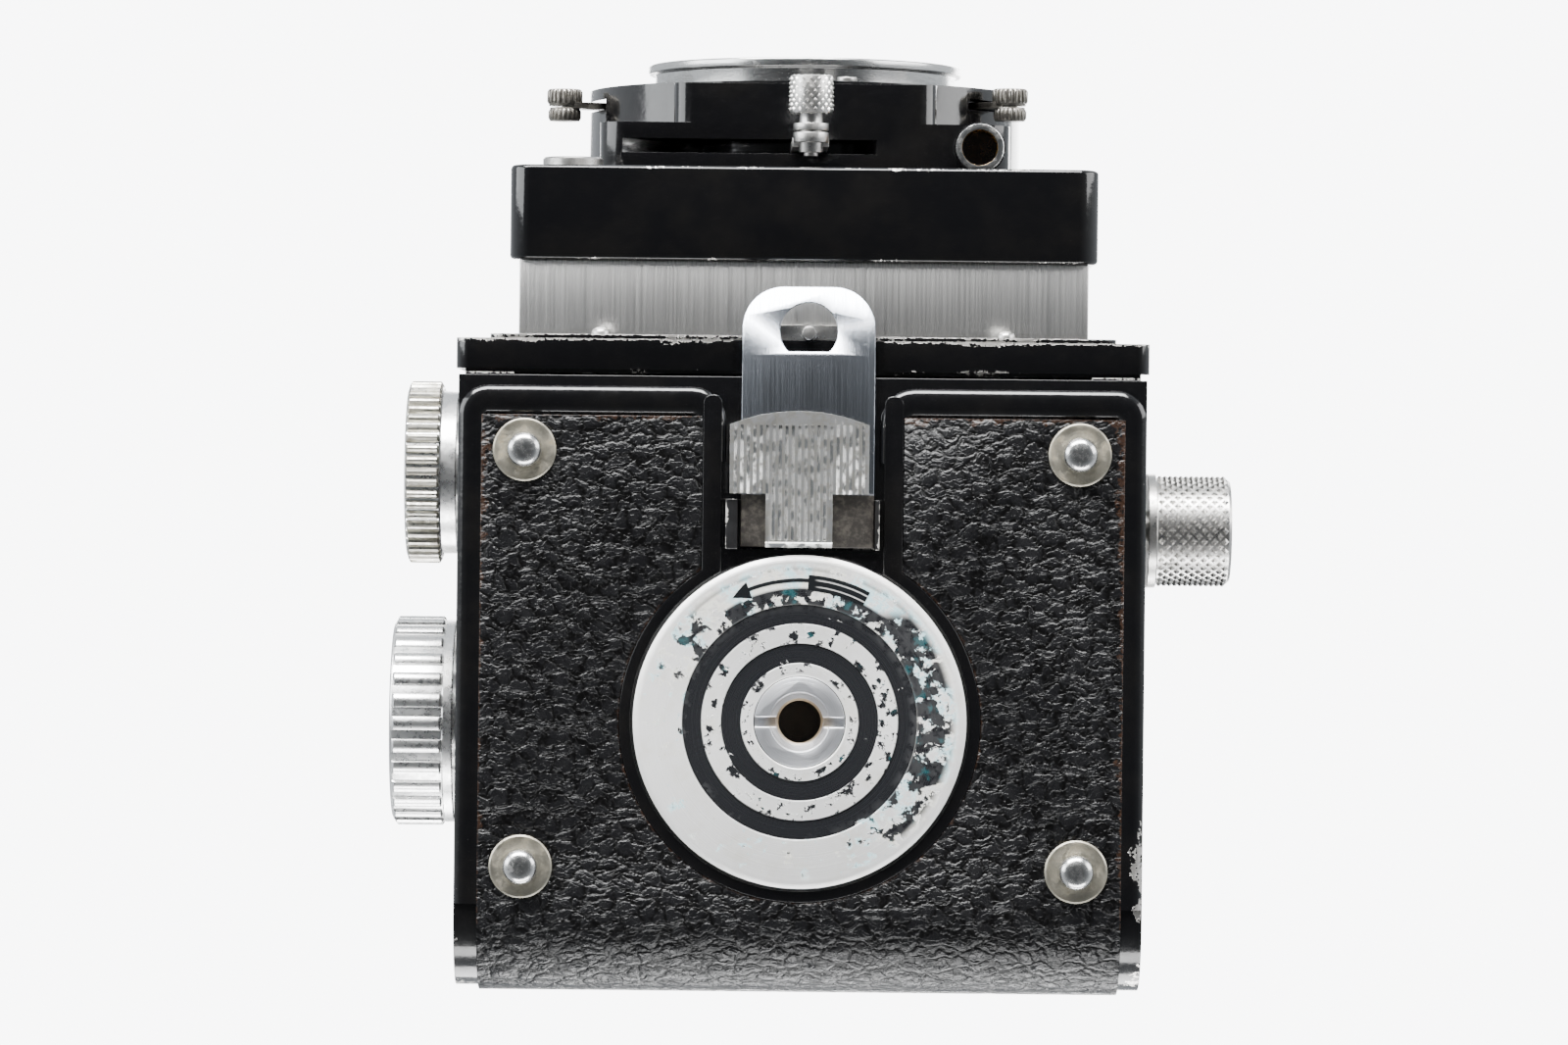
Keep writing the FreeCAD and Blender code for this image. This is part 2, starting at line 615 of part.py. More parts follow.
def spool(centre):
    core = rod("x", centre, 5.2, (-SPOOL_X + 0.1, SPOOL_X - 0.1))
    flanges = [rod("x", centre, SPOOL_R, span)
               for span in ((-SPOOL_X, -SPOOL_X + 0.8), (SPOOL_X - 0.8, SPOOL_X))]
    bores = [rod("x", centre, 2.5, span) for span in ((-SPOOL_X - 1, -28.5), (28.5, SPOOL_X + 1))]
    return cut(fuse([core] + flanges), bores)


def spool_pull_knob():
    """The knob whose pin holds the supply spool; pulled out, it lets the spool go."""
    grip = rod("x", SUPPLY, 6.05, (38.9, 47.2))
    flange = rod("x", SUPPLY, 6.3, (38.0, 39.0))
    return fuse([grip, flange, rod("x", SUPPLY, 2.2, (29.0, 38.4))])


def focus_knob():
    knurl = toothed("x", FOCUS, 10.2, 10.8, 48, (-46.2, -42.0), 0.4, 0.16)
    collar = rod("x", FOCUS, 9.6, (-42.2, -40.2))
    skirt = rod("x", FOCUS, 6.0, (-40.4, -37.4))
    dish = rod("x", FOCUS, 8.6, (-46.7, -45.6))
    return cut(fuse([knurl, collar, skirt]), [dish])


def focus_shaft():
    shaft = rod("x", FOCUS, 1.3, (-37.4, 35.6))
    pinions = [rod("x", FOCUS, PINION_R, span) for span in ((-31.4, -29.4), (29.4, 31.4))]
    return fuse([shaft] + pinions)


def roller(centre):
    return fuse([rod("x", centre, ROLLER_R, (-33.0, 33.0)), rod("x", centre, 0.82, (-35.6, 35.6))])


# ---------------------------------------------------------------- hood

def rise_limit(distance, drop):
    """How long a flap may be at a distance from a neighbour hinged higher by drop."""
    return (distance ** (2 / 3) + drop ** (2 / 3)) ** 1.5 - 0.9


def hood_base():
    z = (DECK[1], 121.2)
    rim = box((-31.2, 31.2), (-37.2, 26.8), z).cut(box((-30.05, 30.05), (-36.25, 23.1), (118, 122)))
    front = box((-31.0, 31.0), (-37.2, -36.4), (DECK[1], 132.0))
    parts = [rim, front]
    for side in (-1, 1):
        for y in ((-34.6, -33.4), (21.7, 22.7)):
            x = sorted((side * 28.9, side * 31.1))
            parts.append(box(x, y, (121.0, FLAP_Z + 0.9)))
        parts.append(rod("y", (side * FLAP_X, FLAP_Z), 0.5, (-34.0, 22.2)))
        x = sorted((side * 29.9, side * 31.1))
        parts.append(box(x, (22.9, 25.1), (121.0, BACK_FLAP_Z + 1.0)))
        x = sorted((side * 26.4, side * 30.6))
        parts.append(box(x, (-37.2, LID_Y), (128.0, LID_Z + 0.2)))
        parts.append(rod("x", (LID_Y, LID_Z), 1.1, tuple(x)))
    parts.append(rod("x", (BACK_FLAP_Y, BACK_FLAP_Z), 0.5, (-30.5, 30.5)))
    parts.append(rod("x", (LID_Y, LID_Z), 0.5, (-30.0, 30.0)))
    return fuse(parts)


def hood_lid():
    top = rounded_plate("z", (-32.3, 32.3), (-36.0, 27.0), 1.0, (LID_Z + 0.5, LID_Z + 1.1))
    parts = [top, box((-32.3, 32.3), (26.4, 27.0), (121.7, LID_Z + 0.8))]
    for side in (-1, 1):
        x = sorted((side * 31.7, side * 32.3))
        parts.append(box(x, (-32.5, 27.0), (121.7, LID_Z + 0.8)))
        x = sorted((side * 13.2, side * 14.4))
        parts.append(box(x, (MAGNIFIER_Y - 1.0, MAGNIFIER_Y + 1.0), (MAGNIFIER_Z - 0.8, LID_Z + 0.8)))
    parts.append(rod("x", (MAGNIFIER_Y, MAGNIFIER_Z), 0.45, (-14.0, 14.0)))
    parts.append(rod("x", (LID_Y, LID_Z), 1.1, (-26.0, 26.0)))
    notches = [box(x, (-37, LID_Y + 1.5), (LID_Z - 2, LID_Z + 2)) for x in ((-31.0, -26.1), (26.1, 31.0))]
    return cut(fuse(parts), notches + [rod("x", (LID_Y, LID_Z), 0.56, (-32, 32))])


def side_flap(side):
    """A side flap folded flat: its outline is cut so that it rises clear of the lid and back flap."""
    y0, y1 = -33.0, 21.4
    lid_drop = LID_Z - FLAP_Z
    back_drop = BACK_FLAP_Z - FLAP_Z
    outline = [(0.0, y0), (0.0, y1)]
    steps = 6
    for k in range(steps + 1):
        gap = (BACK_FLAP_Y - y1) + (15.6 - (BACK_FLAP_Y - y1)) * k / steps
        outline.append((min(rise_limit(gap, back_drop), FLAP_HIGH), BACK_FLAP_Y - gap))
    for k in range(steps, -1, -1):
        gap = (y0 - LID_Y) + (10.0 - (y0 - LID_Y)) * k / steps
        outline.append((min(rise_limit(gap, lid_drop), FLAP_HIGH), LID_Y + gap))
    points = [(side * (FLAP_X - s), y) for s, y in outline]
    plate = prism("z", points, (FLAP_Z - 0.3, FLAP_Z + 0.3))
    barrel = rod("y", (side * FLAP_X, FLAP_Z), 0.95, (y0 + 0.1, y1 - 0.1))
    return fuse([plate, barrel]).cut(rod("y", (side * FLAP_X, FLAP_Z), 0.56, (-40, 30)))


def back_flap():
    y = (BACK_FLAP_Y - BACK_FLAP_LONG, BACK_FLAP_Y)
    plate = box((-29.2, 29.2), y, (BACK_FLAP_Z - 0.3, BACK_FLAP_Z + 0.3))
    barrel = rod("x", (BACK_FLAP_Y, BACK_FLAP_Z), 0.95, (-29.2, 29.2))
    return fuse([plate, barrel]).cut(rod("x", (BACK_FLAP_Y, BACK_FLAP_Z), 0.56, (-40, 40)))


def magnifier_frame():
    z = (MAGNIFIER_Z - 0.8, MAGNIFIER_Z - 0.1)
    plate = rounded_plate("z", (-12.8, 12.8), (MAGNIFIER_Y, MAGNIFIER_Y + 26.0), 3.0, z)
    barrel = rod("x", (MAGNIFIER_Y, MAGNIFIER_Z), 0.9, (-12.8, 12.8))
    rim = rod("z", (0, MAGNIFIER_Y + 13.6), 11.4, (z[0] - 0.8, z[1] + 0.2))
    hole = rod("z", (0, MAGNIFIER_Y + 13.6), 10.4, (120, 140))
    return cut(fuse([plate, barrel, rim]), [hole, rod("x", (MAGNIFIER_Y, MAGNIFIER_Z), 0.5, (-20, 20))])


def magnifier_lens():
    centre = (0, MAGNIFIER_Y + 13.6)
    return lens_glass("z", centre, 10.4, (MAGNIFIER_Z - 1.5, MAGNIFIER_Z), 0.6)


PIECES = {
    "body_casting": body_casting(),
    "side_leathers": side_leathers(),
    "strap_lugs": strap_lugs(),
    "front_frame": front_frame(),
    "frame_plate": frame_plate(),
    "frame_screws": frame_screws(),
    "catch_stud": catch_stud(),
    "light_chamber": light_chamber(),
    "film_gate": film_gate(),
    "mirror_holder": mirror_holder(),
    "viewing_mirror": viewing_mirror(),
    "focusing_screen": focusing_screen(),
    "screen_frame": screen_frame(),
    "spool_pivots": spool_pivots(),
    "door_shell": door_shell(),
    "door_leather": door_leather(),
    "door_hinge_pin": door_hinge_pin(),
    "foot_washers": foot_washers(),
    "foot_rivets": foot_rivets(),
    "tripod_plate": tripod_plate(),
    "tripod_bush": tripod_bush(),
    "lock_disc": lock_disc(),
    "latch_slide": latch_slide(),
    "latch_tongue": latch_tongue(),
    "latch_thumb_piece": latch_thumb_piece(),
    "pressure_plate": pressure_plate(),
    "pressure_spring": pressure_spring(),
    "lens_standard": lens_standard(),
    "lens_board": lens_board(),
    "board_cover_disc": board_cover_disc(),
    "shutter_housing": shutter_housing(),
    "housing_screw": housing_screw(),
    "flash_socket": flash_socket(),
    "accessory_rings": accessory_rings(),
    "lens_barrel": lens_barrel(),
    "taking_lens": lens_glass("y", (0, TAKING_Z), 11.1, (-69.6, -67.9), 1.2),
    "iris_diaphragm": iris_diaphragm(),
    "viewing_bezel": viewing_bezel(),
    "viewing_lens": lens_glass("y", (0, VIEWING_Z), 13.9, (-67.0, -64.0), 1.6),
    "cocking_lever": cocking_lever(),
    "aperture_lever": side_lever(-75.0, 28.3),
    "speed_lever": side_lever(56.0, 27.8),
    "wind_knob": wind_knob(),
    "wind_shaft": wind_shaft(),
    "take_up_gear": take_up_gear(),
    "take_up_spool": spool(TAKE_UP),
    "supply_spool": spool(SUPPLY),
    "spool_pull_knob": spool_pull_knob(),
    "focus_knob": focus_knob(),
    "focus_shaft": focus_shaft(),
    "lower_roller": roller(ROLLERS[0]),
    "upper_roller": roller(ROLLERS[1]),
    "hood_base": hood_base(),
    "hood_lid": hood_lid(),
    "left_flap": side_flap(-1),
    "right_flap": side_flap(1),
    "back_flap": back_flap(),
    "magnifier_frame": magnifier_frame(),
    "magnifier_lens": magnifier_lens(),
}

for piece_name, piece_shape in PIECES.items():
    save(piece_name, piece_shape)
    print(piece_name, piece_shape.isValid(), len(piece_shape.Solids), round(piece_shape.Volume, 1))
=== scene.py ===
import json
import math

import bmesh
import bpy
from mathutils import Matrix, Vector


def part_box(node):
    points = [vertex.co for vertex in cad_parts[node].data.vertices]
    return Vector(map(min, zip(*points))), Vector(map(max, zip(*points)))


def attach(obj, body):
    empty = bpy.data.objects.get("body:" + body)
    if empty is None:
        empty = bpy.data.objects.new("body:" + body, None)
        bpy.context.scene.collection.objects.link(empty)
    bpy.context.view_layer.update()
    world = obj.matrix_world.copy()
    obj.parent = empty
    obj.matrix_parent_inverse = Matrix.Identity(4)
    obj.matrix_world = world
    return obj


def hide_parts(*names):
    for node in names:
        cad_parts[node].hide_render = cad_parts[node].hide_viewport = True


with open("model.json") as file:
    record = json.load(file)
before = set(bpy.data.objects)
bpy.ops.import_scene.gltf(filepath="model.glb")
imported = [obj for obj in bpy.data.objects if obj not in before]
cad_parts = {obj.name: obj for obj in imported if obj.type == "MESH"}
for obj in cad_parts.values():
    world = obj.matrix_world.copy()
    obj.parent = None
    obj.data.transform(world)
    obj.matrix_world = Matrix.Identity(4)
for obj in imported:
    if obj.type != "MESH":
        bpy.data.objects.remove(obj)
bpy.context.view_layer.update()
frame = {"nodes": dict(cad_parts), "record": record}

MM = 0.001
scene = bpy.context.scene

# ---------------------------------------------------------------- photographer's camera
# The body lies on its back and is seen straight from below, from about seven tenths of a metre,
# rolled a little on its side.
camera = bpy.data.objects.new("camera", bpy.data.cameras.new("camera"))
scene.collection.objects.link(camera)
camera.data.lens = 148
camera.data.sensor_width = 36
camera.data.clip_start = 0.01
camera.location = (-1.9 * MM, -21.5 * MM, -695 * MM)
camera.rotation_euler = (math.pi, 0, math.radians(-0.6))
scene.camera = camera

# ---------------------------------------------------------------- white table and studio light
# A white table under the feet, seen from its upper face only so that it never hides the body,
# and a white backdrop all round. Large soft boxes stand round the camera.


def add(tree, kind, inputs=(), **settings):
    """One shader or geometry node with its settings, its values and what feeds it."""
    made = tree.nodes.new(kind)
    for name, value in settings.items():
        setattr(made, name, value)
    for socket, value in dict(inputs).items():
        if isinstance(value, bpy.types.NodeSocket):
            tree.links.new(value, made.inputs[socket])
        else:
            made.inputs[socket].default_value = value
    return made


def white_table(height, reach=3.0):
    """A sheet that takes shadows and is clear when seen from below."""
    paint = bpy.data.materials.new("white_table")
    paint.use_nodes = True
    tree = paint.node_tree
    tree.nodes.clear()
    matt = add(tree, "ShaderNodeBsdfDiffuse", {"Color": STUDIO_WHITE})
    lit = add(tree, "ShaderNodeEmission", {"Color": STUDIO_WHITE, "Strength": 7.0})
    both = add(tree, "ShaderNodeAddShader", {0: matt.outputs[0], 1: lit.outputs[0]})
    clear = add(tree, "ShaderNodeBsdfTransparent")
    below = add(tree, "ShaderNodeNewGeometry").outputs["Backfacing"]
    seen = add(tree, "ShaderNodeMixShader", {0: below, 1: both.outputs[0], 2: clear.outputs[0]})
    add(tree, "ShaderNodeOutputMaterial", {"Surface": seen.outputs[0]})
    mesh = bpy.data.meshes.new("table")
    mesh.from_pydata([(-reach, -reach, height), (reach, -reach, height), (reach, reach, height),
                      (-reach, reach, height)], [], [(0, 1, 2, 3)])
    mesh.materials.append(paint)
    sheet = bpy.data.objects.new("table", mesh)
    scene.collection.objects.link(sheet)
    sheet.visible_shadow = False
    sheet.visible_diffuse = False
    sheet.visible_glossy = False
    sheet.visible_transmission = False


STUDIO_WHITE = (0.93, 0.935, 0.95, 1)
white_table(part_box("foot_rivets")[0][2])

world = bpy.data.worlds.new("studio")
world.use_nodes = True
scene.world = world
sky = world.node_tree
sky.nodes.clear()
sky_way = add(sky, "ShaderNodeTexCoord").outputs["Generated"]
upward = add(sky, "ShaderNodeSeparateXYZ", {0: sky_way}).outputs[2]
fall = add(sky, "ShaderNodeMapRange", {"Value": upward, "From Min": -0.95, "From Max": 0.1,
                                       "To Min": 0.07, "To Max": 0.9}).outputs[0]
daylight = add(sky, "ShaderNodeBackground", {"Color": (0.9, 0.95, 1.0, 1), "Strength": fall})
backdrop = add(sky, "ShaderNodeBackground", {"Color": STUDIO_WHITE, "Strength": 9.0})
straight = add(sky, "ShaderNodeLightPath").outputs["Is Camera Ray"]
around = add(sky, "ShaderNodeMixShader", {0: straight, 1: daylight.outputs[0], 2: backdrop.outputs[0]})
add(sky, "ShaderNodeOutputWorld", {"Surface": around.outputs[0]})


def softbox(name, place, target, size, watts, colour=(1, 1, 1)):
    light = bpy.data.lights.new(name, "AREA")
    light.shape = "RECTANGLE"
    light.size, light.size_y = size
    light.energy = watts
    light.color = colour
    lamp = bpy.data.objects.new(name, light)
    lamp.location = place
    lamp.rotation_euler = (Vector(target) - Vector(place)).to_track_quat("-Z", "Y").to_euler()
    scene.collection.objects.link(lamp)


MIDDLE = (0, -0.015, 0.05)
softbox("key_box", (-0.15, -0.95, -0.42), MIDDLE, (1.1, 0.5), 62)
softbox("left_box", (-0.95, -0.35, -0.28), MIDDLE, (0.5, 0.9), 9, (0.95, 0.98, 1))
softbox("right_box", (0.95, -0.45, -0.2), MIDDLE, (0.5, 0.9), 8)
softbox("low_box", (0.1, 0.9, -0.35), MIDDLE, (1.1, 0.3), 14)
softbox("top_box", (0.2, -0.1, 1.1), MIDDLE, (0.9, 0.9), 26)
softbox("back_box", (0.1, 1.1, 0.5), MIDDLE, (0.9, 0.6), 22)

# ---------------------------------------------------------------- enamelled body
# Side walls, top deck and front wall: one aluminium casting, stove-enamelled gloss black over a
# fine skin. The paint wears to bare metal along its outer edges.


def math_node(tree, operation, first, second=0.0, clamp=False):
    made = add(tree, "ShaderNodeMath", {0: first, 1: second}, operation=operation, use_clamp=clamp)
    return made.outputs[0]


def times(tree, first, second):
    return math_node(tree, "MULTIPLY", first, second)


def plus(tree, first, second, clamp=False):
    return math_node(tree, "ADD", first, second, clamp)


def less(tree, value, share=1.0):
    """One, less a share of the value."""
    return math_node(tree, "SUBTRACT", 1.0, times(tree, value, share))


def vector_node(tree, operation, first, second=(0, 0, 0)):
    return add(tree, "ShaderNodeVectorMath", {0: first, 1: second}, operation=operation).outputs[0]


def axis_reach(tree, place, centre=(0, 0, 0)):
    """Distance from an upright axis through the centre."""
    flat = vector_node(tree, "MULTIPLY", vector_node(tree, "SUBTRACT", place, centre), (1, 1, 0))
    return add(tree, "ShaderNodeVectorMath", {0: flat}, operation="LENGTH").outputs["Value"]


def split(tree, place):
    """The three coordinates of a place."""
    return add(tree, "ShaderNodeSeparateXYZ", {0: place}).outputs


def between(tree, value, low, high, out_low=0.0, out_high=1.0):
    """A smooth step from out_low to out_high as the value goes from low to high."""
    step = add(tree, "ShaderNodeMapRange", {"Value": value, "From Min": low, "From Max": high,
                                            "To Min": out_low, "To Max": out_high},
               interpolation_type="SMOOTHSTEP")
    return step.outputs["Result"]


def colour_mix(tree, factor, first, second):
    mixer = add(tree, "ShaderNodeMix", {0: factor, 6: first, 7: second}, data_type="RGBA")
    return mixer.outputs[2]


def noise(tree, vector, scale, detail=2.0, rough=0.5):
    made = add(tree, "ShaderNodeTexNoise", {"Vector": vector, "Scale": scale, "Detail": detail,
                                            "Roughness": rough})
    return made.outputs["Fac"]


def effect(name, inputs, outputs):
    """An empty shader node group with named sockets: (tree, what it is given, its result)."""
    tree = bpy.data.node_groups.new(name, "ShaderNodeTree")
    kinds = {"v": "NodeSocketVector", "f": "NodeSocketFloat", "c": "NodeSocketColor"}
    for socket, kind in inputs:
        tree.interface.new_socket(socket, in_out="INPUT", socket_type=kinds[kind])
    for socket, kind in outputs:
        tree.interface.new_socket(socket, in_out="OUTPUT", socket_type=kinds[kind])
    return tree, tree.nodes.new("NodeGroupInput").outputs, tree.nodes.new("NodeGroupOutput").inputs


def make_edge_wear():
    """Mask of paint rubbed off along the edges of a box, ragged, from millimetre coordinates."""
    tree, given, result = effect("Edge Wear", [("Place", "v"), ("Centre", "v"), ("Half Size", "v"),
                                               ("Width", "f"), ("Ragged", "f"), ("Chips From", "f")],
                                 [("Mask", "f")])
    place = given["Place"]
    offset = vector_node(tree, "ABSOLUTE", vector_node(tree, "SUBTRACT", place, given["Centre"]))
    x, y, z = split(tree, vector_node(tree, "SUBTRACT", given["Half Size"], offset))
    low = math_node(tree, "MINIMUM", x, y)
    high = math_node(tree, "MAXIMUM", x, y)
    edge = math_node(tree, "MAXIMUM", low, math_node(tree, "MINIMUM", high, z))
    broad = noise(tree, place, 0.16, 3.0, 0.6)
    fine = noise(tree, place, 1.9, 4.0, 0.65)
    past = math_node(tree, "SUBTRACT", split(tree, place)[1], given["Chips From"])
    chips = times(tree, between(tree, broad, 0.46, 0.70), given["Ragged"])
    chips = times(tree, chips, between(tree, past, 0.0, 14.0, 0.06, 1.0))
    reach = times(tree, given["Width"], plus(tree, 0.16, chips))
    limit = times(tree, reach, between(tree, fine, 0.35, 0.62, 0.1, 2.0))
    bare = math_node(tree, "SUBTRACT", limit, edge)
    tree.links.new(between(tree, bare, 0.0, 0.05), result["Mask"])
    return tree


def make_dust():
    """Mask of small pale specks and lint."""
    tree, given, result = effect("Dust Specks", [("Place", "v"), ("Spacing", "f"), ("Amount", "f")],
                                 [("Mask", "f")])
    scale = math_node(tree, "DIVIDE", 1.0, given["Spacing"])
    cells = add(tree, "ShaderNodeTexVoronoi", {"Vector": given["Place"], "Scale": scale,
                                               "Randomness": 1.0})
    lottery = add(tree, "ShaderNodeSeparateColor", {0: cells.outputs["Color"]}).outputs[0]
    size = times(tree, lottery, 0.07)
    speck = math_node(tree, "LESS_THAN", cells.outputs["Distance"], size)
    chosen = math_node(tree, "LESS_THAN", lottery, given["Amount"])
    tree.links.new(times(tree, speck, chosen), result["Mask"])
    return tree


EDGE_WEAR = make_edge_wear()
DUST = make_dust()


def finish(name, **constants):
    """A new material: (material, tree, shader, millimetre coordinates). Constants go on the shader."""
    paint = bpy.data.materials.new(name)
    paint.use_nodes = True
    tree = paint.node_tree
    shader = tree.nodes["Principled BSDF"]
    for socket, value in constants.items():
        shader.inputs[socket.replace("_", " ")].default_value = value
    coordinates = add(tree, "ShaderNodeTexCoord").outputs["Object"]
    place = add(tree, "ShaderNodeVectorMath", {0: coordinates, "Scale": 1000.0}, operation="SCALE")
    return paint, tree, shader, place.outputs[0]


def use(tree, group, inputs):
    """An effect's node group, fed with these inputs."""
    return add(tree, "ShaderNodeGroup", inputs, node_tree=group)


def feed(tree, shader, **values):
    for socket, value in values.items():
        tree.links.new(value, shader.inputs[socket.replace("_", " ")])


def roughen(tree, shader, height, distance, strength=1.0):
    """A bump of so many metres depth on the shader."""
    bump = add(tree, "ShaderNodeBump", {"Height": height, "Distance": distance, "Strength": strength})
    feed(tree, shader, Normal=bump.outputs[0])


def box_mm(*nodes):
    """(centre, half size) in millimetres of the box round some CAD nodes."""
    lows = [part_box(node)[0] for node in nodes]
    highs = [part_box(node)[1] for node in nodes]
    low = [min(v[k] for v in lows) * 1000 for k in range(3)]
    high = [max(v[k] for v in highs) * 1000 for k in range(3)]
    return [(a + b) / 2 for a, b in zip(low, high)], [(b - a) / 2 for a, b in zip(low, high)]


BARE_METAL = (0.58, 0.56, 0.53, 1)
ENAMEL_BLACK = (0.0022, 0.0022, 0.0026, 1)


def enamel(name, around, width, ragged, gloss=0.14, chips_from=-200.0):
    """Gloss black stove enamel, worn to metal along the box edges of what it covers."""
    paint, tree, shader, place = finish(name, Coat_Weight=0.35, Coat_Roughness=0.06, IOR=1.5)
    centre, half = around
    wear = use(tree, EDGE_WEAR, {"Place": place, "Centre": centre, "Half Size": half,
                                 "Width": width, "Ragged": ragged, "Chips From": chips_from}).outputs["Mask"]
    dust = use(tree, DUST, {"Place": place, "Spacing": 2.4, "Amount": 0.22}).outputs["Mask"]
    cloud = noise(tree, place, 0.12, 4.0, 0.6)
    dark = colour_mix(tree, between(tree, cloud, 0.4, 0.75), ENAMEL_BLACK, (0.0045, 0.0042, 0.004, 1))
    dusty = colour_mix(tree, times(tree, dust, 0.35), dark, (0.45, 0.44, 0.42, 1))
    scuffs = between(tree, noise(tree, place, 0.7, 6.0, 0.7), 0.35, 0.8, gloss, gloss + 0.10)
    feed(tree, shader, Base_Color=colour_mix(tree, wear, dusty, BARE_METAL),
         Metallic=wear,
         Roughness=plus(tree, scuffs, times(tree, wear, 0.2)))
    skin = noise(tree, place, 1.3, 3.0, 0.55)
    sunk = times(tree, wear, -0.6)
    roughen(tree, shader, plus(tree, skin, sunk), 0.00003, 0.6)
    return paint


def smooth_by_angle(mesh, degrees=32):
    mesh.polygons.foreach_set("use_smooth", [True] * len(mesh.polygons))
    mesh.set_sharp_from_angle(angle=math.radians(degrees))


def plain_mesh(maker, name):
    """The evaluated mesh of an object that has modifiers, as a fresh plain object."""
    bpy.context.view_layer.update()
    result = bpy.data.meshes.new_from_object(maker.evaluated_get(bpy.context.evaluated_depsgraph_get()))
    result.name = name
    bpy.data.objects.remove(maker)
    plain = bpy.data.objects.new(name, result)
    scene.collection.objects.link(plain)
    return plain


def eased(node, paint, radius=0.15, steps=2, angle=32):
    """The CAD piece as one joined mesh with its sharp edges eased, ready to ride and be painted."""
    mesh = frame["nodes"][node].data.copy()
    mesh.materials.clear()
    shape = bmesh.new()
    shape.from_mesh(mesh)
    bmesh.ops.remove_doubles(shape, verts=shape.verts, dist=1e-6)
    bmesh.ops.dissolve_limit(shape, angle_limit=math.radians(0.6), verts=shape.verts, edges=shape.edges)
    shape.to_mesh(mesh)
    shape.free()
    maker = bpy.data.objects.new(node + "_eased", mesh)
    scene.collection.objects.link(maker)
    if radius:
        bevel = maker.modifiers.new("eased", "BEVEL")
        bevel.width = radius * MM
        bevel.segments = steps
        bevel.limit_method = "ANGLE"
        bevel.angle_limit = math.radians(angle)
        bevel.use_clamp_overlap = True
    piece = plain_mesh(maker, node + "_finished")
    piece.data.materials.append(paint)
    smooth_by_angle(piece.data)
    return piece


RIDES = {node: body for body, nodes in frame["record"]["behaviour"]["bodies"].items() for node in nodes}


def stand_for(piece, *nodes):
    """The piece rides where its CAD nodes ride and stands for them."""
    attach(piece, RIDES[nodes[0]])
    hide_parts(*nodes)
    return piece


def dress(node, paint, *easing):
    """The CAD piece, eased and painted, stands for itself."""
    return stand_for(eased(node, paint, *easing), node)


body_enamel = enamel("body_enamel", box_mm("body_casting"), 0.5, 1.2)
dress("body_casting", body_enamel, 0.25)

# ---------------------------------------------------------------- front frame
# A thick aluminium frame round the lens standard, enamelled, and a thin plate on it held by
# four small screws. Its front edge is rubbed bright and its corners are chipped.
frame_enamel = enamel("frame_enamel", box_mm("front_frame"), 0.7, 0.35)
dress("front_frame", frame_enamel, 0.45, 3)
plate_enamel = enamel("plate_enamel", box_mm("frame_plate"), 0.4, 0.8)
dress("frame_plate", plate_enamel, 0.12)

# ---------------------------------------------------------------- back door
# One sheet of steel bent round the bottom and back, gloss black, with a raised rim round the
# lock disc and two ribs beside the latch. Its side edges are chipped at the corners.
door_enamel = enamel("door_enamel", box_mm("door_shell"), 0.6, 3.4, 0.14, 8.0)
dress("door_shell", door_enamel, 0.35, 3)


def new_piece(name, shape, paint, degrees=0):
    """The object of a finished shape, faces outwards, smooth where it turns less than so many degrees."""
    bmesh.ops.recalc_face_normals(shape, faces=shape.faces)
    mesh = bpy.data.meshes.new(name)
    shape.to_mesh(mesh)
    shape.free()
    mesh.materials.append(paint)
    if degrees:
        smooth_by_angle(mesh, degrees)
    piece = bpy.data.objects.new(name, mesh)
    scene.collection.objects.link(piece)
    return piece


def skin(shape, rows):
    """Faces over a stack of equal loops of points, closed at both ends."""
    for first, second in zip(rows, rows[1:]):
        for k in range(len(first)):
            after = (k + 1) % len(first)
            shape.faces.new([first[k], first[after], second[after], second[k]])
    shape.faces.new(rows[0])
    shape.faces.new(rows[-1])


BEAD_PROFILE = [(-1.0, 0.0), (-0.9, 0.45), (-0.6, 0.85), (0.0, 1.0), (0.6, 0.85), (0.9, 0.45), (1.0, 0.0)]


def swept(name, points, half_width, base, crest, paint):
    """A rounded bead along a line of points lying in a plane across Z; base and crest are heights."""
    shape = bmesh.new()
    rows = []
    for k, (x, y) in enumerate(points):
        before, after = points[max(k - 1, 0)], points[min(k + 1, len(points) - 1)]
        along = Vector((after[0] - before[0], after[1] - before[1], 0)).normalized()
        across = Vector((-along.y, along.x, 0)) * half_width
        rows.append([shape.verts.new((Vector((x, y, base + (crest - base) * h)) + across * w) * MM)
                     for w, h in BEAD_PROFILE])
    skin(shape, rows)
    return new_piece(name, shape, paint, 50)


def bend(centre, radius, start, end, steps=6):
    """Points along an arc from one angle to another."""
    return [(centre[0] + radius * math.cos(math.radians(start + (end - start) * k / steps)),
             centre[1] + radius * math.sin(math.radians(start + (end - start) * k / steps)))
            for k in range(steps + 1)]


BEAD_Y = -34.5
for side, outside, inside in (("left", -35.6, -9.75), ("right", 35.6, 9.9)):
    way = 1 if outside < 0 else -1
    corner = bend((outside + way * 1.6, BEAD_Y + 1.6), 1.6, 180 if way > 0 else 0, 270 if way > 0 else -90)
    elbow = bend((inside - way * 2.2, BEAD_Y + 2.2), 2.2, 270, 360 if way > 0 else 180)
    line = [(outside, 20.0)] + corner + elbow + [(inside, -28.0)]
    bead = swept("door_bead_" + side, line, 1.6, 1.5, 0.86, door_enamel)
    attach(bead, "back_door")
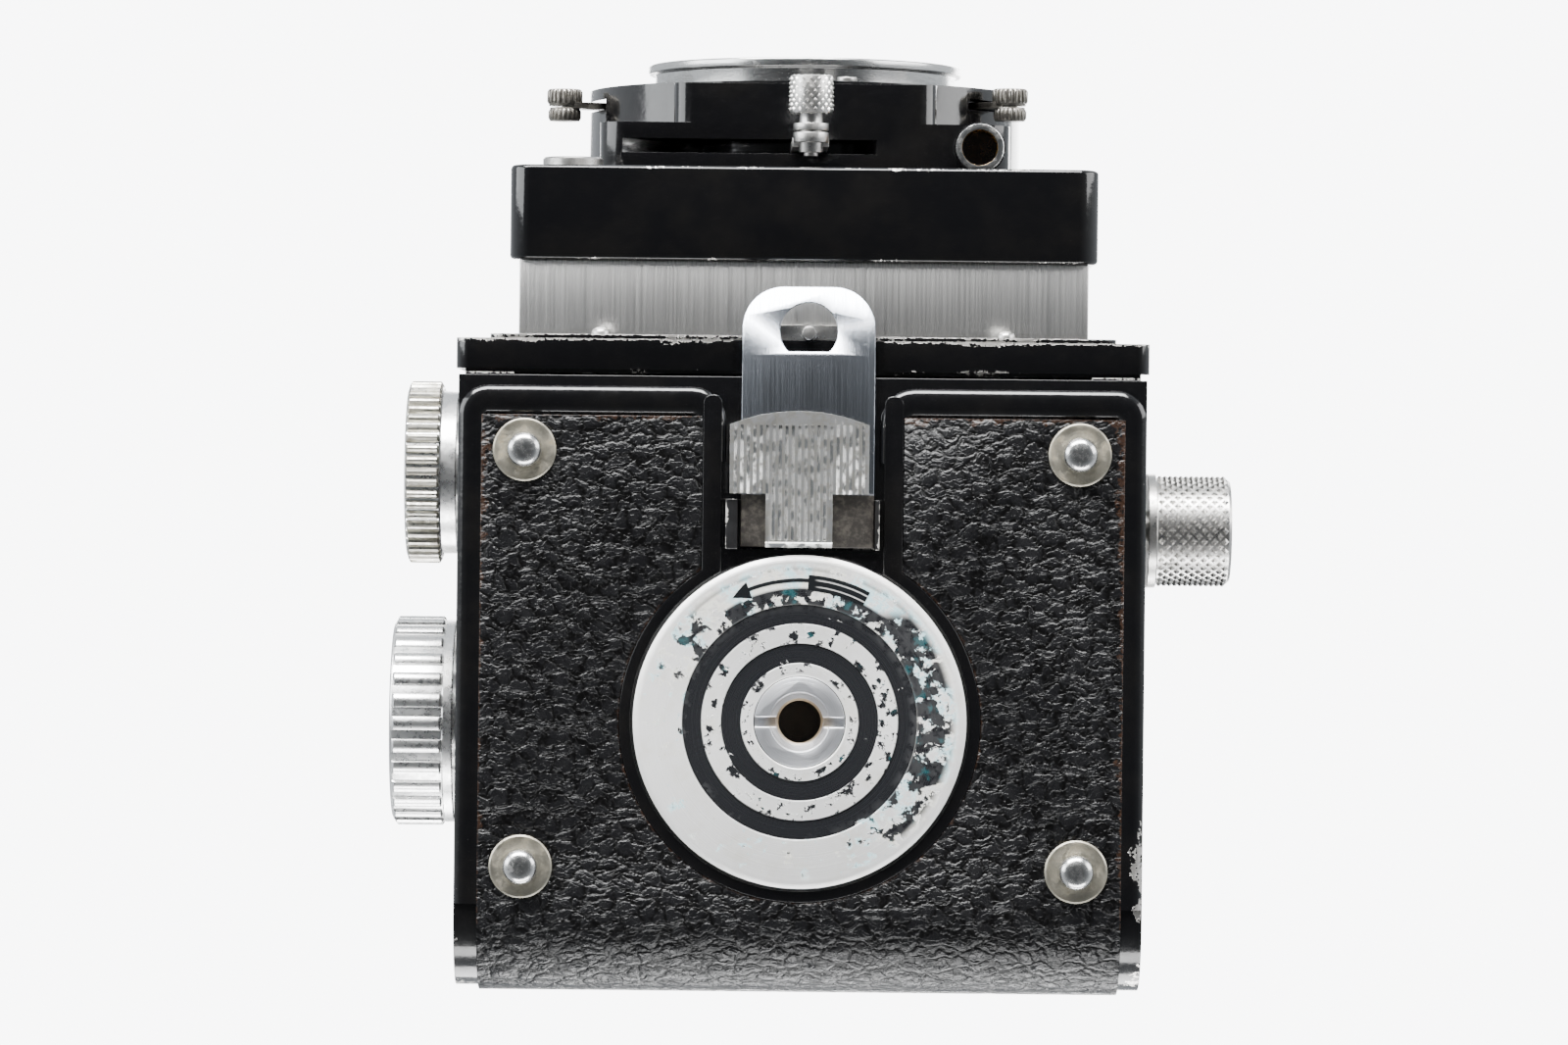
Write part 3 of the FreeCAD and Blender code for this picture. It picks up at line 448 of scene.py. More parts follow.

# ---------------------------------------------------------------- leather
# Black goat leather with a wrinkled pebble grain, glued on and trimmed by hand. Rust from the
# steel has crept under its edges, and the grain's tops are polished by handling. Painted shade
# darkens the creases, and a painted highlight lightens the grain's tops.


def make_leather_grain():
    """Pebbled hide: Height of the grain, Crease between pebbles and polished Tops."""
    tree, given, result = effect("Leather Grain", [("Place", "v"), ("Pebble", "v")],
                                 [("Height", "f"), ("Crease", "f"), ("Tops", "f")])
    place = given["Place"]
    warp = add(tree, "ShaderNodeTexNoise", {"Vector": place, "Scale": 0.45, "Detail": 3.0}).outputs["Color"]
    push = vector_node(tree, "MULTIPLY", vector_node(tree, "ADD", warp, (-0.5, -0.5, -0.5)), (2.4, 2.4, 2.4))
    cells = vector_node(tree, "DIVIDE", vector_node(tree, "ADD", place, push), given["Pebble"])

    def cracks(scale, feature):
        return add(tree, "ShaderNodeTexVoronoi", {"Vector": cells, "Scale": scale, "Randomness": 1.0},
                   feature=feature).outputs["Distance"]

    edge = cracks(1.0, "DISTANCE_TO_EDGE")
    dome = cracks(1.0, "F1")
    small = cracks(2.6, "DISTANCE_TO_EDGE")
    pebbles = between(tree, edge, 0.0, 0.20)
    wrinkles = between(tree, small, 0.0, 0.12)
    pores = noise(tree, place, 5.0, 3.0, 0.6)
    swell = times(tree, less(tree, dome), 0.55)
    body = plus(tree, times(tree, pebbles, 0.40), swell)
    body = plus(tree, body, times(tree, wrinkles, 0.12))
    height = plus(tree, body, times(tree, pores, 0.04))
    tree.links.new(height, result["Height"])
    tree.links.new(less(tree, pebbles), result["Crease"])
    tree.links.new(between(tree, height, 0.78, 1.0), result["Tops"])
    return tree


LEATHER_GRAIN = make_leather_grain()


def hide(name, around, pebble, disc_rim=0.0):
    """Black leather; disc_rim is the radius of a round hole in it, in millimetres, if it has one."""
    paint, tree, shader, place = finish(name, Specular_IOR_Level=0.27)
    grain = use(tree, LEATHER_GRAIN, {"Place": place, "Pebble": pebble})
    centre, half = around
    rust = use(tree, EDGE_WEAR, {"Place": place, "Centre": centre, "Half Size": half,
                                 "Width": 0.6, "Ragged": 1.0, "Chips From": -200.0}).outputs["Mask"]
    if disc_rim:
        ragged = noise(tree, place, 0.8, 4.0, 0.7)
        edge = plus(tree, axis_reach(tree, place), times(tree, ragged, 1.4))
        rust = math_node(tree, "MAXIMUM", rust, between(tree, edge, disc_rim + 0.95, disc_rim + 0.6))
    # painted shade: the creases between the pebbles are coloured darker than their flats
    dark = colour_mix(tree, grain.outputs["Crease"], (0.0048, 0.0048, 0.0054, 1),
                      (0.0010, 0.0009, 0.0009, 1))
    # painted highlight: the grain's tops are coloured lighter, where light would catch them
    highlit_tops = colour_mix(tree, times(tree, grain.outputs["Tops"], 0.5), dark,
                      (0.014, 0.014, 0.0145, 1))
    brown = colour_mix(tree, times(tree, rust, 0.6), highlit_tops, (0.034, 0.017, 0.010, 1))
    sheen = between(tree, grain.outputs["Tops"], 0.0, 1.0, 0.26, 0.12)
    patch = times(tree, noise(tree, place, 0.09, 3.0), 0.06)
    feed(tree, shader, Base_Color=brown,
         Roughness=plus(tree, sheen, patch))
    roughen(tree, shader, grain.outputs["Height"], 0.00017)
    return paint


door_hide = hide("door_hide", box_mm("door_leather"), (2.4, 1.35, 1.6), 19.5)
dress("door_leather", door_hide, 0.2, 2, 50)
side_hide = hide("side_hide", box_mm("side_leathers"), (2.0, 2.3, 1.6))
dress("side_leathers", side_hide, 0.15, 2, 50)

# ---------------------------------------------------------------- lock disc
# A spun aluminium disc that turns to lock the door: raised rings, black in the grooves, with
# the paint flaking off in patches and blue-green corrosion where the metal was bare.


ONTO_AXIS = {"x": Matrix.Rotation(math.pi / 2, 4, "Y"), "y": Matrix.Rotation(-math.pi / 2, 4, "X"),
             "z": Matrix.Identity(4)}


def turned(name, axis, centre, outline, paint, around=96):
    """A lathe-turned piece. The outline lists (along, radius) in millimetres and closes on itself."""
    shape = bmesh.new()
    rings = []
    for along, radius in outline:
        if radius == 0:
            rings.append([shape.verts.new((0, 0, along * MM))])
            continue
        rings.append([shape.verts.new((radius * MM * math.cos(2 * math.pi * k / around),
                                       radius * MM * math.sin(2 * math.pi * k / around), along * MM))
                      for k in range(around)])
    for first, second in zip(rings, rings[1:] + rings[:1]):
        for k in range(around):
            loop = [first[k % len(first)], first[(k + 1) % len(first)],
                    second[(k + 1) % len(second)], second[k % len(second)]]
            corners = list(dict.fromkeys(loop))
            if len(corners) > 2:
                shape.faces.new(corners)
    place = {"x": (0, *centre), "y": (centre[0], 0, centre[1]), "z": (*centre, 0)}[axis]
    bmesh.ops.transform(shape, matrix=Matrix.Translation(Vector(place) * MM) @ ONTO_AXIS[axis],
                        verts=shape.verts)
    return new_piece(name, shape, paint, 30)


def make_spun_lines():
    """Fine turning marks round an axis along Z: Lines from the radius in millimetres."""
    tree, given, result = effect("Spun Lines", [("Place", "v"), ("Pitch", "f")],
                                 [("Lines", "f"), ("Radius", "f")])
    radius = axis_reach(tree, given["Place"])
    lines = add(tree, "ShaderNodeTexNoise", {"W": math_node(tree, "DIVIDE", radius, given["Pitch"]),
                                             "Scale": 1.0, "Detail": 3.0, "Roughness": 0.7},
                noise_dimensions="1D")
    tree.links.new(lines.outputs["Fac"], result["Lines"])
    tree.links.new(radius, result["Radius"])
    return tree


def make_flaking():
    """Paint left in ragged islands: Paint mask, more of it as Cover goes up."""
    tree, given, result = effect("Flaking Paint", [("Place", "v"), ("Size", "f"), ("Cover", "f")],
                                 [("Paint", "f")])
    scale = math_node(tree, "DIVIDE", 1.0, given["Size"])
    islands = add(tree, "ShaderNodeTexNoise", {"Vector": given["Place"], "Scale": scale,
                                               "Detail": 8.0, "Roughness": 0.68, "Distortion": 0.3})
    level = less(tree, given["Cover"])
    depth = math_node(tree, "SUBTRACT", islands.outputs["Fac"], level)
    tree.links.new(between(tree, depth, 0.0, 0.02), result["Paint"])
    return tree


SPUN_LINES = make_spun_lines()
FLAKING = make_flaking()


def band(tree, value, low, high, soft=0.06):
    """Mask of the values between low and high, soft at both ends."""
    rise = between(tree, value, low - soft, low + soft)
    return times(tree, rise, between(tree, value, high + soft, high - soft))


def disc_metal():
    """Spun aluminium, black in its grooves, with loose paint and corrosion towards the top and right."""
    paint, tree, shader, place = finish("lock_disc_metal", Anisotropic=0.4, IOR=1.5)
    spun = use(tree, SPUN_LINES, {"Place": place, "Pitch": 0.16})
    radius = spun.outputs["Radius"]
    x, y, z = split(tree, place)
    grooves = plus(tree, band(tree, radius, 10.6, 12.7), band(tree, radius, 6.35, 8.5), True)
    groove_paint = use(tree, FLAKING, {"Place": place, "Size": 3.0, "Cover": 0.66}).outputs["Paint"]
    worn_side = between(tree, plus(tree, times(tree, x, 0.6), times(tree, y, -0.7)),
                        -11.5, 5.0, 0.365, 0.55)
    stray_paint = use(tree, FLAKING, {"Place": place, "Size": 2.1, "Cover": worn_side}).outputs["Paint"]
    outer = times(tree, stray_paint, band(tree, radius, 12.4, 16.6, 0.5))
    arrow_zone = times(tree, band(tree, radius, 14.5, 16.4, 0.2), between(tree, y, -11.0, -12.5))
    outer = times(tree, outer, less(tree, arrow_zone))
    inner = use(tree, FLAKING, {"Place": place, "Size": 1.6, "Cover": 0.455}).outputs["Paint"]
    inner = times(tree, inner, band(tree, radius, 5.4, 10.8, 0.1))
    painted = math_node(tree, "MAXIMUM", times(tree, grooves, groove_paint),
                        math_node(tree, "MAXIMUM", outer, inner))
    halo = use(tree, FLAKING, {"Place": place, "Size": 2.1, "Cover": plus(tree, worn_side, 0.07)})
    halo = times(tree, halo.outputs["Paint"], band(tree, radius, 12.0, 17.0, 0.5))
    bloom = noise(tree, place, 0.9, 6.0, 0.7)
    corroded = times(tree, halo, between(tree, bloom, 0.42, 0.55))
    silver = colour_mix(tree, spun.outputs["Lines"], (0.80, 0.795, 0.78, 1), (0.96, 0.955, 0.94, 1))
    smudge = between(tree, noise(tree, place, 0.25, 5.0, 0.65), 0.45, 0.75)
    silver = colour_mix(tree, smudge, silver, (0.78, 0.76, 0.70, 1))
    chalk = colour_mix(tree, between(tree, noise(tree, place, 0.2, 2.0), 0.45, 0.55),
                       (0.62, 0.61, 0.55, 1), (0.42, 0.62, 0.66, 1))
    stained = colour_mix(tree, corroded, silver, chalk)
    teal_spots = between(tree, noise(tree, place, 0.42, 5.0, 0.6), 0.56, 0.64)
    ink = colour_mix(tree, times(tree, teal_spots, less(tree, grooves)),
                     (0.010, 0.0105, 0.012, 1), (0.012, 0.050, 0.056, 1))
    bare = less(tree, painted)
    clean = between(tree, corroded, 0, 1, 0.6, 0.1)
    satin = between(tree, spun.outputs["Lines"], 0.2, 0.8, 0.42, 0.52)
    dull = plus(tree, satin, times(tree, corroded, 0.3))
    feed(tree, shader, Base_Color=colour_mix(tree, painted, stained, ink),
         Metallic=times(tree, bare, clean),
         Roughness=math_node(tree, "SUBTRACT", dull, times(tree, painted, 0.2)))
    relief = plus(tree, times(tree, painted, 0.9),
                       times(tree, spun.outputs["Lines"], 0.5))
    roughen(tree, shader, relief, 0.00004)
    return paint


DISC_OUTLINE = [(1.1, 4.98), (1.1, 17.7), (0.95, 18.0), (0.35, 18.0), (0.05, 17.6), (0, 17.2), (0, 12.75),
                (0.15, 12.65), (0.15, 10.65), (0, 10.55), (0, 8.55), (0.15, 8.45), (0.15, 6.4), (0, 6.3),
                (0, 5.1), (0.1, 4.98)]
disc_finish = disc_metal()
stand_for(turned("lock_disc_finished", "z", (0, 0), DISC_OUTLINE, disc_finish, 160), "lock_disc")

# ---------------------------------------------------------------- turning arrow
# A curved arrow printed on the disc's face shows which way opens the door: a small head, a thin
# shaft and a striped bar. Each is (start and end in degrees, radius and half width in millimetres).
ARROW_BAR = (62, 87, 15.05, 0.85)
ARROW_SHAFT = (87, 111.5, 15.3, 0.2)
ARROW_HEAD = (111.5, 119, 15.2, 0.95)


def printed_arrow():
    ink, tree, shader, place = finish("arrow_ink", IOR=1.45)
    left = use(tree, FLAKING, {"Place": place, "Size": 2.0, "Cover": 0.72}).outputs["Paint"]
    radius = use(tree, SPUN_LINES, {"Place": place, "Pitch": 0.3}).outputs["Radius"]
    stripes = plus(tree, band(tree, radius, 14.62, 14.74, 0.04),
                   band(tree, radius, 15.32, 15.46, 0.04), True)
    across = split(tree, place)[0]
    stripes = times(tree, stripes, between(tree, across, 1.4, 2.2))
    left = times(tree, left, less(tree, stripes))
    feed(tree, shader, Base_Color=colour_mix(tree, left, (0.42, 0.42, 0.41, 1), (0.006, 0.007, 0.008, 1)),
         Roughness=between(tree, left, 0, 1, 0.5, 0.3))
    shape = bmesh.new()
    rows = []
    for (start, end, middle, half), point in ((ARROW_BAR, False), (ARROW_SHAFT, False), (ARROW_HEAD, True)):
        for k in range(13):
            angle = math.radians(start + (end - start) * k / 12)
            wide = half * (1 - k / 12) if point else half
            rows.append([shape.verts.new(((middle + s * wide) * MM * math.cos(angle),
                                          -(middle + s * wide) * MM * math.sin(angle), -0.02 * MM))
                         for s in (-1, 1)])
    for first, second in zip(rows, rows[1:]):
        shape.faces.new([first[0], first[1], second[1], second[0]])
    bmesh.ops.remove_doubles(shape, verts=shape.verts, dist=1e-7)
    bmesh.ops.recalc_face_normals(shape, faces=shape.faces)
    solid = bmesh.ops.extrude_face_region(shape, geom=shape.faces[:])
    moved = [v for v in solid["geom"] if isinstance(v, bmesh.types.BMVert)]
    bmesh.ops.translate(shape, verts=moved, vec=(0, 0, 0.05 * MM))
    arrow = new_piece("turning_arrow", shape, ink)
    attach(arrow, "lock_disc")


printed_arrow()

# ---------------------------------------------------------------- bare metals
# Nickelled steel, aluminium and brass of the small parts: satin, with fine scratches and grime
# held in every hollow.


def make_drawn_lines():
    """Lines of a brush or a die along one direction: stretch the coordinates before it."""
    tree, given, result = effect("Drawn Lines", [("Place", "v"), ("Stretch", "v")], [("Lines", "f")])
    drawn = vector_node(tree, "MULTIPLY", given["Place"], given["Stretch"])
    tree.links.new(noise(tree, drawn, 1.0, 4.0, 0.7), result["Lines"])
    return tree


DRAWN_LINES = make_drawn_lines()


def drawn_metal(name, light, dark, stretch, rough, grime=0.5, grime_colour=(0.06, 0.05, 0.035, 1)):
    """Brushed or satin metal. Stretch is lines per millimetre along X, Y and Z."""
    paint, tree, shader, place = finish(name, IOR=1.5)
    lines = use(tree, DRAWN_LINES, {"Place": place, "Stretch": stretch}).outputs["Lines"]
    sharp = between(tree, lines, 0.3, 0.7)
    blotch = between(tree, noise(tree, place, 0.45, 6.0, 0.65), 0.68 - 0.25 * grime, 0.80)
    metal = colour_mix(tree, sharp, dark, light)
    feed(tree, shader, Base_Color=colour_mix(tree, times(tree, blotch, grime), metal, grime_colour),
         Metallic=less(tree, blotch, 0.6 * grime),
         Roughness=plus(tree, between(tree, lines, 0.3, 0.7, rough + 0.08, rough - 0.04),
                        times(tree, blotch, 0.3)))
    roughen(tree, shader, lines, 0.00002, 0.7)
    return paint


nickel = drawn_metal("satin_nickel", (0.66, 0.65, 0.63, 1), (0.50, 0.49, 0.47, 1), (1.2, 1.2, 1.2),
                     0.30, 0.7)

# ---------------------------------------------------------------- tripod bush
# A slotted steel bush screwed into the door's plate; its threaded hole is the tripod socket. The
# slot takes a wide screwdriver.


def bush_metal():
    """Turned steel, bright on its face; brown oil and dust lie near the mouth of the hole, and painted shade
    darkens it to grey further down.
    """
    paint, tree, shader, place = finish("bush_steel", IOR=1.5)
    spun = use(tree, SPUN_LINES, {"Place": place, "Pitch": 0.12})
    depth = split(tree, place)[2]
    hole_oil_and_shade = times(tree, between(tree, depth, 0.05, 1.2), between(tree, spun.outputs["Radius"], 4.4, 2.8))
    steel = colour_mix(tree, spun.outputs["Lines"], (0.66, 0.67, 0.70, 1), (0.82, 0.83, 0.86, 1))
    # brown oil near the mouth, then painted shade: the colour darkens to grey with depth down the hole
    oil = colour_mix(tree, between(tree, depth, 0.8, 4.5), (0.34, 0.26, 0.17, 1), (0.10, 0.09, 0.08, 1))
    feed(tree, shader, Base_Color=colour_mix(tree, hole_oil_and_shade, steel, oil),
         Metallic=less(tree, hole_oil_and_shade, 0.7),
         Roughness=between(tree, spun.outputs["Lines"], 0.2, 0.8, 0.34, 0.44))
    roughen(tree, shader, spun.outputs["Lines"], 0.00002)
    return paint


bush_steel = bush_metal()
dress("tripod_bush", bush_steel, 0.12)


def socket_thread():
    """The thread's ridges in the socket, one helix wound by a formula."""
    turns, start, end, wall, per_turn = 4.5, 0.6, 5.9, 2.55, 40
    shape = bmesh.new()
    rows = []
    count = int(turns * per_turn)
    for k in range(count + 1):
        angle = 2 * math.pi * k / per_turn
        z = start + (end - start) * k / count
        crest = min(1.0, k / 10, (count - k) / 10) * 0.26
        section = ((wall + 0.05, z - 0.35), (wall - crest, z), (wall + 0.05, z + 0.35))
        rows.append([shape.verts.new((r * MM * math.cos(angle), r * MM * math.sin(angle), h * MM))
                     for r, h in section])
    skin(shape, rows)
    thread = new_piece("socket_thread", shape, bush_steel, 50)
    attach(thread, "back_door")


socket_thread()

# ---------------------------------------------------------------- latch
# A sprung steel tongue that hooks the front frame's stud, a ribbed grip riveted on it for the
# thumb, and the dark slide under its tail. The grip is painted dark between its ribs as shade
# mixed with grime, and has spots of grime on its ribs.


def tongue_metal():
    """Blued-bright spring steel, ground lengthwise; its tail under the grip is dark with old oil."""
    paint, tree, shader, place = finish("tongue_steel", IOR=1.5)
    lines = use(tree, DRAWN_LINES, {"Place": place, "Stretch": (9.0, 0.10, 0.3)}).outputs["Lines"]
    along = split(tree, place)[1]
    ragged = times(tree, noise(tree, place, 1.1, 5.0, 0.7), 0.7)
    tail = between(tree, plus(tree, along, ragged), -24.5, -24.1)
    steel = colour_mix(tree, between(tree, lines, 0.3, 0.7), (0.40, 0.43, 0.48, 1), (0.62, 0.65, 0.70, 1))
    oil = colour_mix(tree, between(tree, noise(tree, place, 1.4, 6.0, 0.7), 0.4, 0.7),
                     (0.022, 0.019, 0.016, 1), (0.07, 0.062, 0.052, 1))
    polish = between(tree, lines, 0.3, 0.7, 0.25, 0.13)
    feed(tree, shader, Base_Color=colour_mix(tree, tail, steel, oil),
         Metallic=less(tree, tail, 0.8),
         Roughness=plus(tree, polish, times(tree, tail, 0.35)))
    roughen(tree, shader, lines, 0.00002, 0.7)
    return paint


tongue_steel = tongue_metal()
dress("latch_tongue", tongue_steel, 0.12, 2)


def grip_finish():
    """Nickelled grip: painted shade mixed with grime darkens the grooves between its ribs, and grime lies in
    spots on them.
    """
    paint, tree, shader, place = finish("grip_metal", IOR=1.5)
    x, y, z = split(tree, place)
    # painted shade with grime: the grooves between the ribs are coloured dark by their depth, more or less
    # as the smears vary
    groove = between(tree, z, -0.66, -0.52)
    inside = times(tree, groove, between(tree, math_node(tree, "ABSOLUTE", plus(tree, x, 0.3)), 7.35, 7.2))
    smears = between(tree, noise(tree, place, 0.8, 4.0, 0.6), 0.42, 0.60)
    stretched = vector_node(tree, "MULTIPLY", place, (1.3, 0.8, 1.0))
    spots = between(tree, noise(tree, stretched, 1.1, 4.0, 0.6), 0.64, 0.68)
    grime_and_groove_shade = math_node(tree, "MAXIMUM", times(tree, inside, between(tree, smears, 0, 1, 0.35, 0.9)),
                     times(tree, spots, 0.85))
    warm = colour_mix(tree, smears, (0.90, 0.90, 0.89, 1), (0.80, 0.78, 0.72, 1))
    grime_and_shade_colour = colour_mix(tree, smears, (0.075, 0.07, 0.06, 1), (0.02, 0.027, 0.04, 1))
    feed(tree, shader, Base_Color=colour_mix(tree, grime_and_groove_shade, warm, grime_and_shade_colour),
         Metallic=less(tree, grime_and_groove_shade, 0.8),
         Roughness=between(tree, grime_and_groove_shade, 0, 1, 0.34, 0.5))
    roughen(tree, shader, noise(tree, place, 2.5, 4.0, 0.7), 0.00002, 0.6)
    return paint


grip_metal = grip_finish()
dress("latch_thumb_piece", grip_metal, 0.06, 1)
slide_enamel = enamel("slide_enamel", box_mm("latch_slide"), 0.3, 1.0, 0.4)
dress("latch_slide", slide_enamel, 0.08, 1)
dress("catch_stud", nickel, 0.15)

# ---------------------------------------------------------------- feet and frame screws
# Four turned feet, each a washer and a domed rivet set through the leather, and the round-headed
# screws of the frame plate: one shape of each, repeated at the corners of a rectangle.


def pattern_tree(name, sockets):
    """An empty geometry nodes tree fed with a piece, named values and the finish of the copies."""
    tree = bpy.data.node_groups.new(name, "GeometryNodeTree")
    for socket, kind in (("Geometry", "Geometry"), *sockets, ("Finish", "Material")):
        tree.interface.new_socket(socket, in_out="INPUT", socket_type="NodeSocket" + kind)
    tree.interface.new_socket("Geometry", in_out="OUTPUT", socket_type="NodeSocketGeometry")
    return tree, tree.nodes.new("NodeGroupInput").outputs, tree.nodes.new("NodeGroupOutput").inputs


def copies_on(tree, given, result, points, **turned_by):
    """The piece on every point, made real, painted and put out."""
    copies = add(tree, "GeometryNodeInstanceOnPoints",
                 {"Points": points, "Instance": given["Geometry"], **turned_by})
    real = add(tree, "GeometryNodeRealizeInstances", {"Geometry": copies.outputs[0]})
    painted = add(tree, "GeometryNodeSetMaterial",
                  {"Geometry": real.outputs[0], "Material": given["Finish"]})
    tree.links.new(painted.outputs[0], result["Geometry"])


def corners_tree():
    """Geometry nodes: the piece's own mesh set at the four corners of a rectangle across Z."""
    tree, given, result = pattern_tree("Set At Corners", [("Width", "Float"), ("Depth", "Float")])
    grid = add(tree, "GeometryNodeMeshGrid",
               {"Size X": given["Width"], "Size Y": given["Depth"], "Vertices X": 2, "Vertices Y": 2})
    copies_on(tree, given, result, grid.outputs["Mesh"])
    return tree


def wrapped_rows_tree():
    """Geometry nodes: the piece's own mesh repeated round an axis along Z, in staggered rows."""
    tree, given, result = pattern_tree("Wrapped Rows", [
        ("Count", "Int"), ("Rows", "Int"), ("Radius", "Float"), ("Pitch", "Float"), ("Stagger", "Float")])
    count, rows = given["Count"], given["Rows"]
    total = times(tree, count, rows)
    line = add(tree, "GeometryNodeMeshLine", {"Count": total})
    index = add(tree, "GeometryNodeInputIndex").outputs[0]
    row = math_node(tree, "FLOOR", math_node(tree, "DIVIDE", plus(tree, index, 0.5), count))
    odd = math_node(tree, "MODULO", row, 2.0)
    step = plus(tree, index, times(tree, odd, given["Stagger"]))
    angle = times(tree, math_node(tree, "DIVIDE", step, count), 2 * math.pi)
    x = times(tree, math_node(tree, "COSINE", angle), given["Radius"])
    y = times(tree, math_node(tree, "SINE", angle), given["Radius"])
    middle = times(tree, math_node(tree, "SUBTRACT", rows, 1.0), 0.5)
    z = times(tree, math_node(tree, "SUBTRACT", row, middle), given["Pitch"])
    spot = add(tree, "ShaderNodeCombineXYZ", {0: x, 1: y, 2: z}).outputs[0]
    placed = add(tree, "GeometryNodeSetPosition", {"Geometry": line.outputs["Mesh"], "Position": spot})
    turn = add(tree, "ShaderNodeCombineXYZ", {2: angle}).outputs[0]
    copies_on(tree, given, result, placed.outputs[0], Rotation=turn)
    return tree


SET_AT_CORNERS = corners_tree()
WRAPPED_ROWS = wrapped_rows_tree()


def repeated(piece, tree, values, matrix, degrees=30):
    """The piece repeated by a geometry nodes tree, made plain, then moved into its place."""
    name = piece.name
    piece.name = name + "_pattern"
    maker = piece.modifiers.new("repeat", "NODES")
    maker.node_group = tree
    sockets = {item.name: item.identifier for item in tree.interface.items_tree
               if item.item_type == "SOCKET" and item.in_out == "INPUT"}
    for socket, value in values.items():
        maker[sockets[socket]] = value
    plain = plain_mesh(piece, name)
    plain.data.transform(matrix)
    smooth_by_angle(plain.data, degrees)
    return plain


WASHER_R = 3.4
foot_low, foot_high = (Vector(corner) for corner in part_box("foot_washers"))
foot_middle = (foot_low + foot_high) / 2
foot_middle.z = 0
FOOT_PLACES = {"Width": foot_high.x - foot_low.x - 2 * WASHER_R * MM,
               "Depth": foot_high.y - foot_low.y - 2 * WASHER_R * MM}
washer_metal = drawn_metal("washer_metal", (0.62, 0.59, 0.50, 1), (0.42, 0.39, 0.31, 1), (0.8, 0.8, 0.8),
                           0.36, 0.9, (0.20, 0.15, 0.07, 1))
washer = turned("foot_washers_finished", "z", (0, 0),
                [(0.9, 0.95), (0.9, WASHER_R), (0.7, 3.42), (0.52, 3.25), (0.5, 2.9), (0.62, 2.5),
                 (0.62, 1.9), (0.5, 1.8), (0.5, 0.95)], washer_metal, 48)
washers = repeated(washer, SET_AT_CORNERS, {**FOOT_PLACES, "Finish": washer_metal},
                   Matrix.Translation(foot_middle))
stand_for(washers, "foot_washers")
rivet_metal = drawn_metal("rivet_metal", (0.78, 0.78, 0.77, 1), (0.62, 0.62, 0.61, 1),
                          (1.5, 1.5, 1.5), 0.22, 0.35)
rivet = turned("foot_rivets_finished", "z", (0, 0),
               [(2.6, 0), (2.6, 0.95), (0.5, 0.95), (0.5, 1.95), (-0.2, 1.94), (-0.75, 1.82), (-1.1, 1.58),
                (-1.3, 1.2), (-1.38, 0.7), (-1.4, 0.4), (-1.4, 0)], rivet_metal, 40)
rivets = repeated(rivet, SET_AT_CORNERS, {**FOOT_PLACES, "Finish": rivet_metal},
                  Matrix.Translation(foot_middle))
stand_for(rivets, "foot_rivets")

SCREW_PLACES = {"Width": 44 * MM, "Depth": 110.4 * MM}
screw_low, screw_high = (Vector(corner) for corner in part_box("frame_screws"))
screw_middle = (screw_low + screw_high) / 2
screw_middle.y = 0
screw_head = turned("frame_screws_finished", "z", (0, 0),
                    [(-42.5, 0), (-42.5, 0.35), (-42.42, 0.62), (-42.25, 0.86), (-42.0, 0.98), (-41.72, 1.0),
                     (-41.7, 0.9), (-37.7, 0.9), (-37.7, 0)], nickel, 28)
screws = repeated(screw_head, SET_AT_CORNERS, {**SCREW_PLACES, "Finish": nickel},
                  Matrix.Translation(screw_middle) @ Matrix.Rotation(-math.pi / 2, 4, "X"))
stand_for(screws, "frame_screws")

# ---------------------------------------------------------------- lens standard
# A box of bright drawn aluminium that slides in the front frame and carries the lens board. Its
# brush lines run along the lens axis.
tube_metal = drawn_metal("tube_metal", (0.80, 0.79, 0.77, 1), (0.54, 0.535, 0.52, 1),
                         (5.0, 0.035, 5.0), 0.34, 0.15)
dress("lens_standard", tube_metal, 0.15)
board_enamel = enamel("board_enamel", box_mm("lens_board"), 0.35, 0.5, 0.10)
dress("lens_board", board_enamel, 0.7, 4)
cover_disc = turned("board_cover_disc_finished", "y", (-25.4, 11.0),
                    [(-60.2, 0), (-60.2, 3.3), (-61.0, 3.3), (-61.2, 3.1), (-61.2, 0)], nickel, 48)
stand_for(cover_disc, "board_cover_disc")

# ---------------------------------------------------------------- shutter housing
# The shutter's black case round the taking lens: a drum with a stepped chin, and the bezel of
# the viewing lens above it.
housing_enamel = enamel("housing_enamel", box_mm("shutter_housing"), 0.25, 0.6, 0.13)
dress("shutter_housing", housing_enamel, 0.5, 3)
bezel_enamel = enamel("bezel_enamel", box_mm("viewing_bezel"), 0.2, 0.4, 0.13)
dress("viewing_bezel", bezel_enamel, 0.5, 3)
dress("housing_screw", nickel, 0.2, 3)


def socket_metal():
    paint, tree, shader, place = finish("socket_metal", IOR=1.5)
    reach = axis_reach(tree, place, (19.3, -63.1, 0))
    depth = split(tree, place)[2]
    inside = between(tree, reach, 2.05, 1.96)
    # painted shade: the colour goes near black deeper down the socket's hole
    socket_hole_shade = times(tree, inside, between(tree, depth, 17.0, 19.5))
    stain = between(tree, noise(tree, place, 0.9, 4.0), 0.4, 0.7)
    chrome = colour_mix(tree, stain, (0.88, 0.88, 0.87, 1), (0.66, 0.65, 0.62, 1))
    brass = colour_mix(tree, stain, (0.78, 0.50, 0.16, 1), (0.34, 0.20, 0.07, 1))
    lined = colour_mix(tree, inside, chrome, brass)
    feed(tree, shader, Base_Color=colour_mix(tree, socket_hole_shade, lined, (0.012, 0.008, 0.005, 1)),
         Metallic=less(tree, socket_hole_shade),
         Roughness=between(tree, stain, 0, 1, 0.16, 0.3))
    roughen(tree, shader, stain, 0.00002)
    return paint


flash_metal = socket_metal()
dress("flash_socket", flash_metal, 0.12)

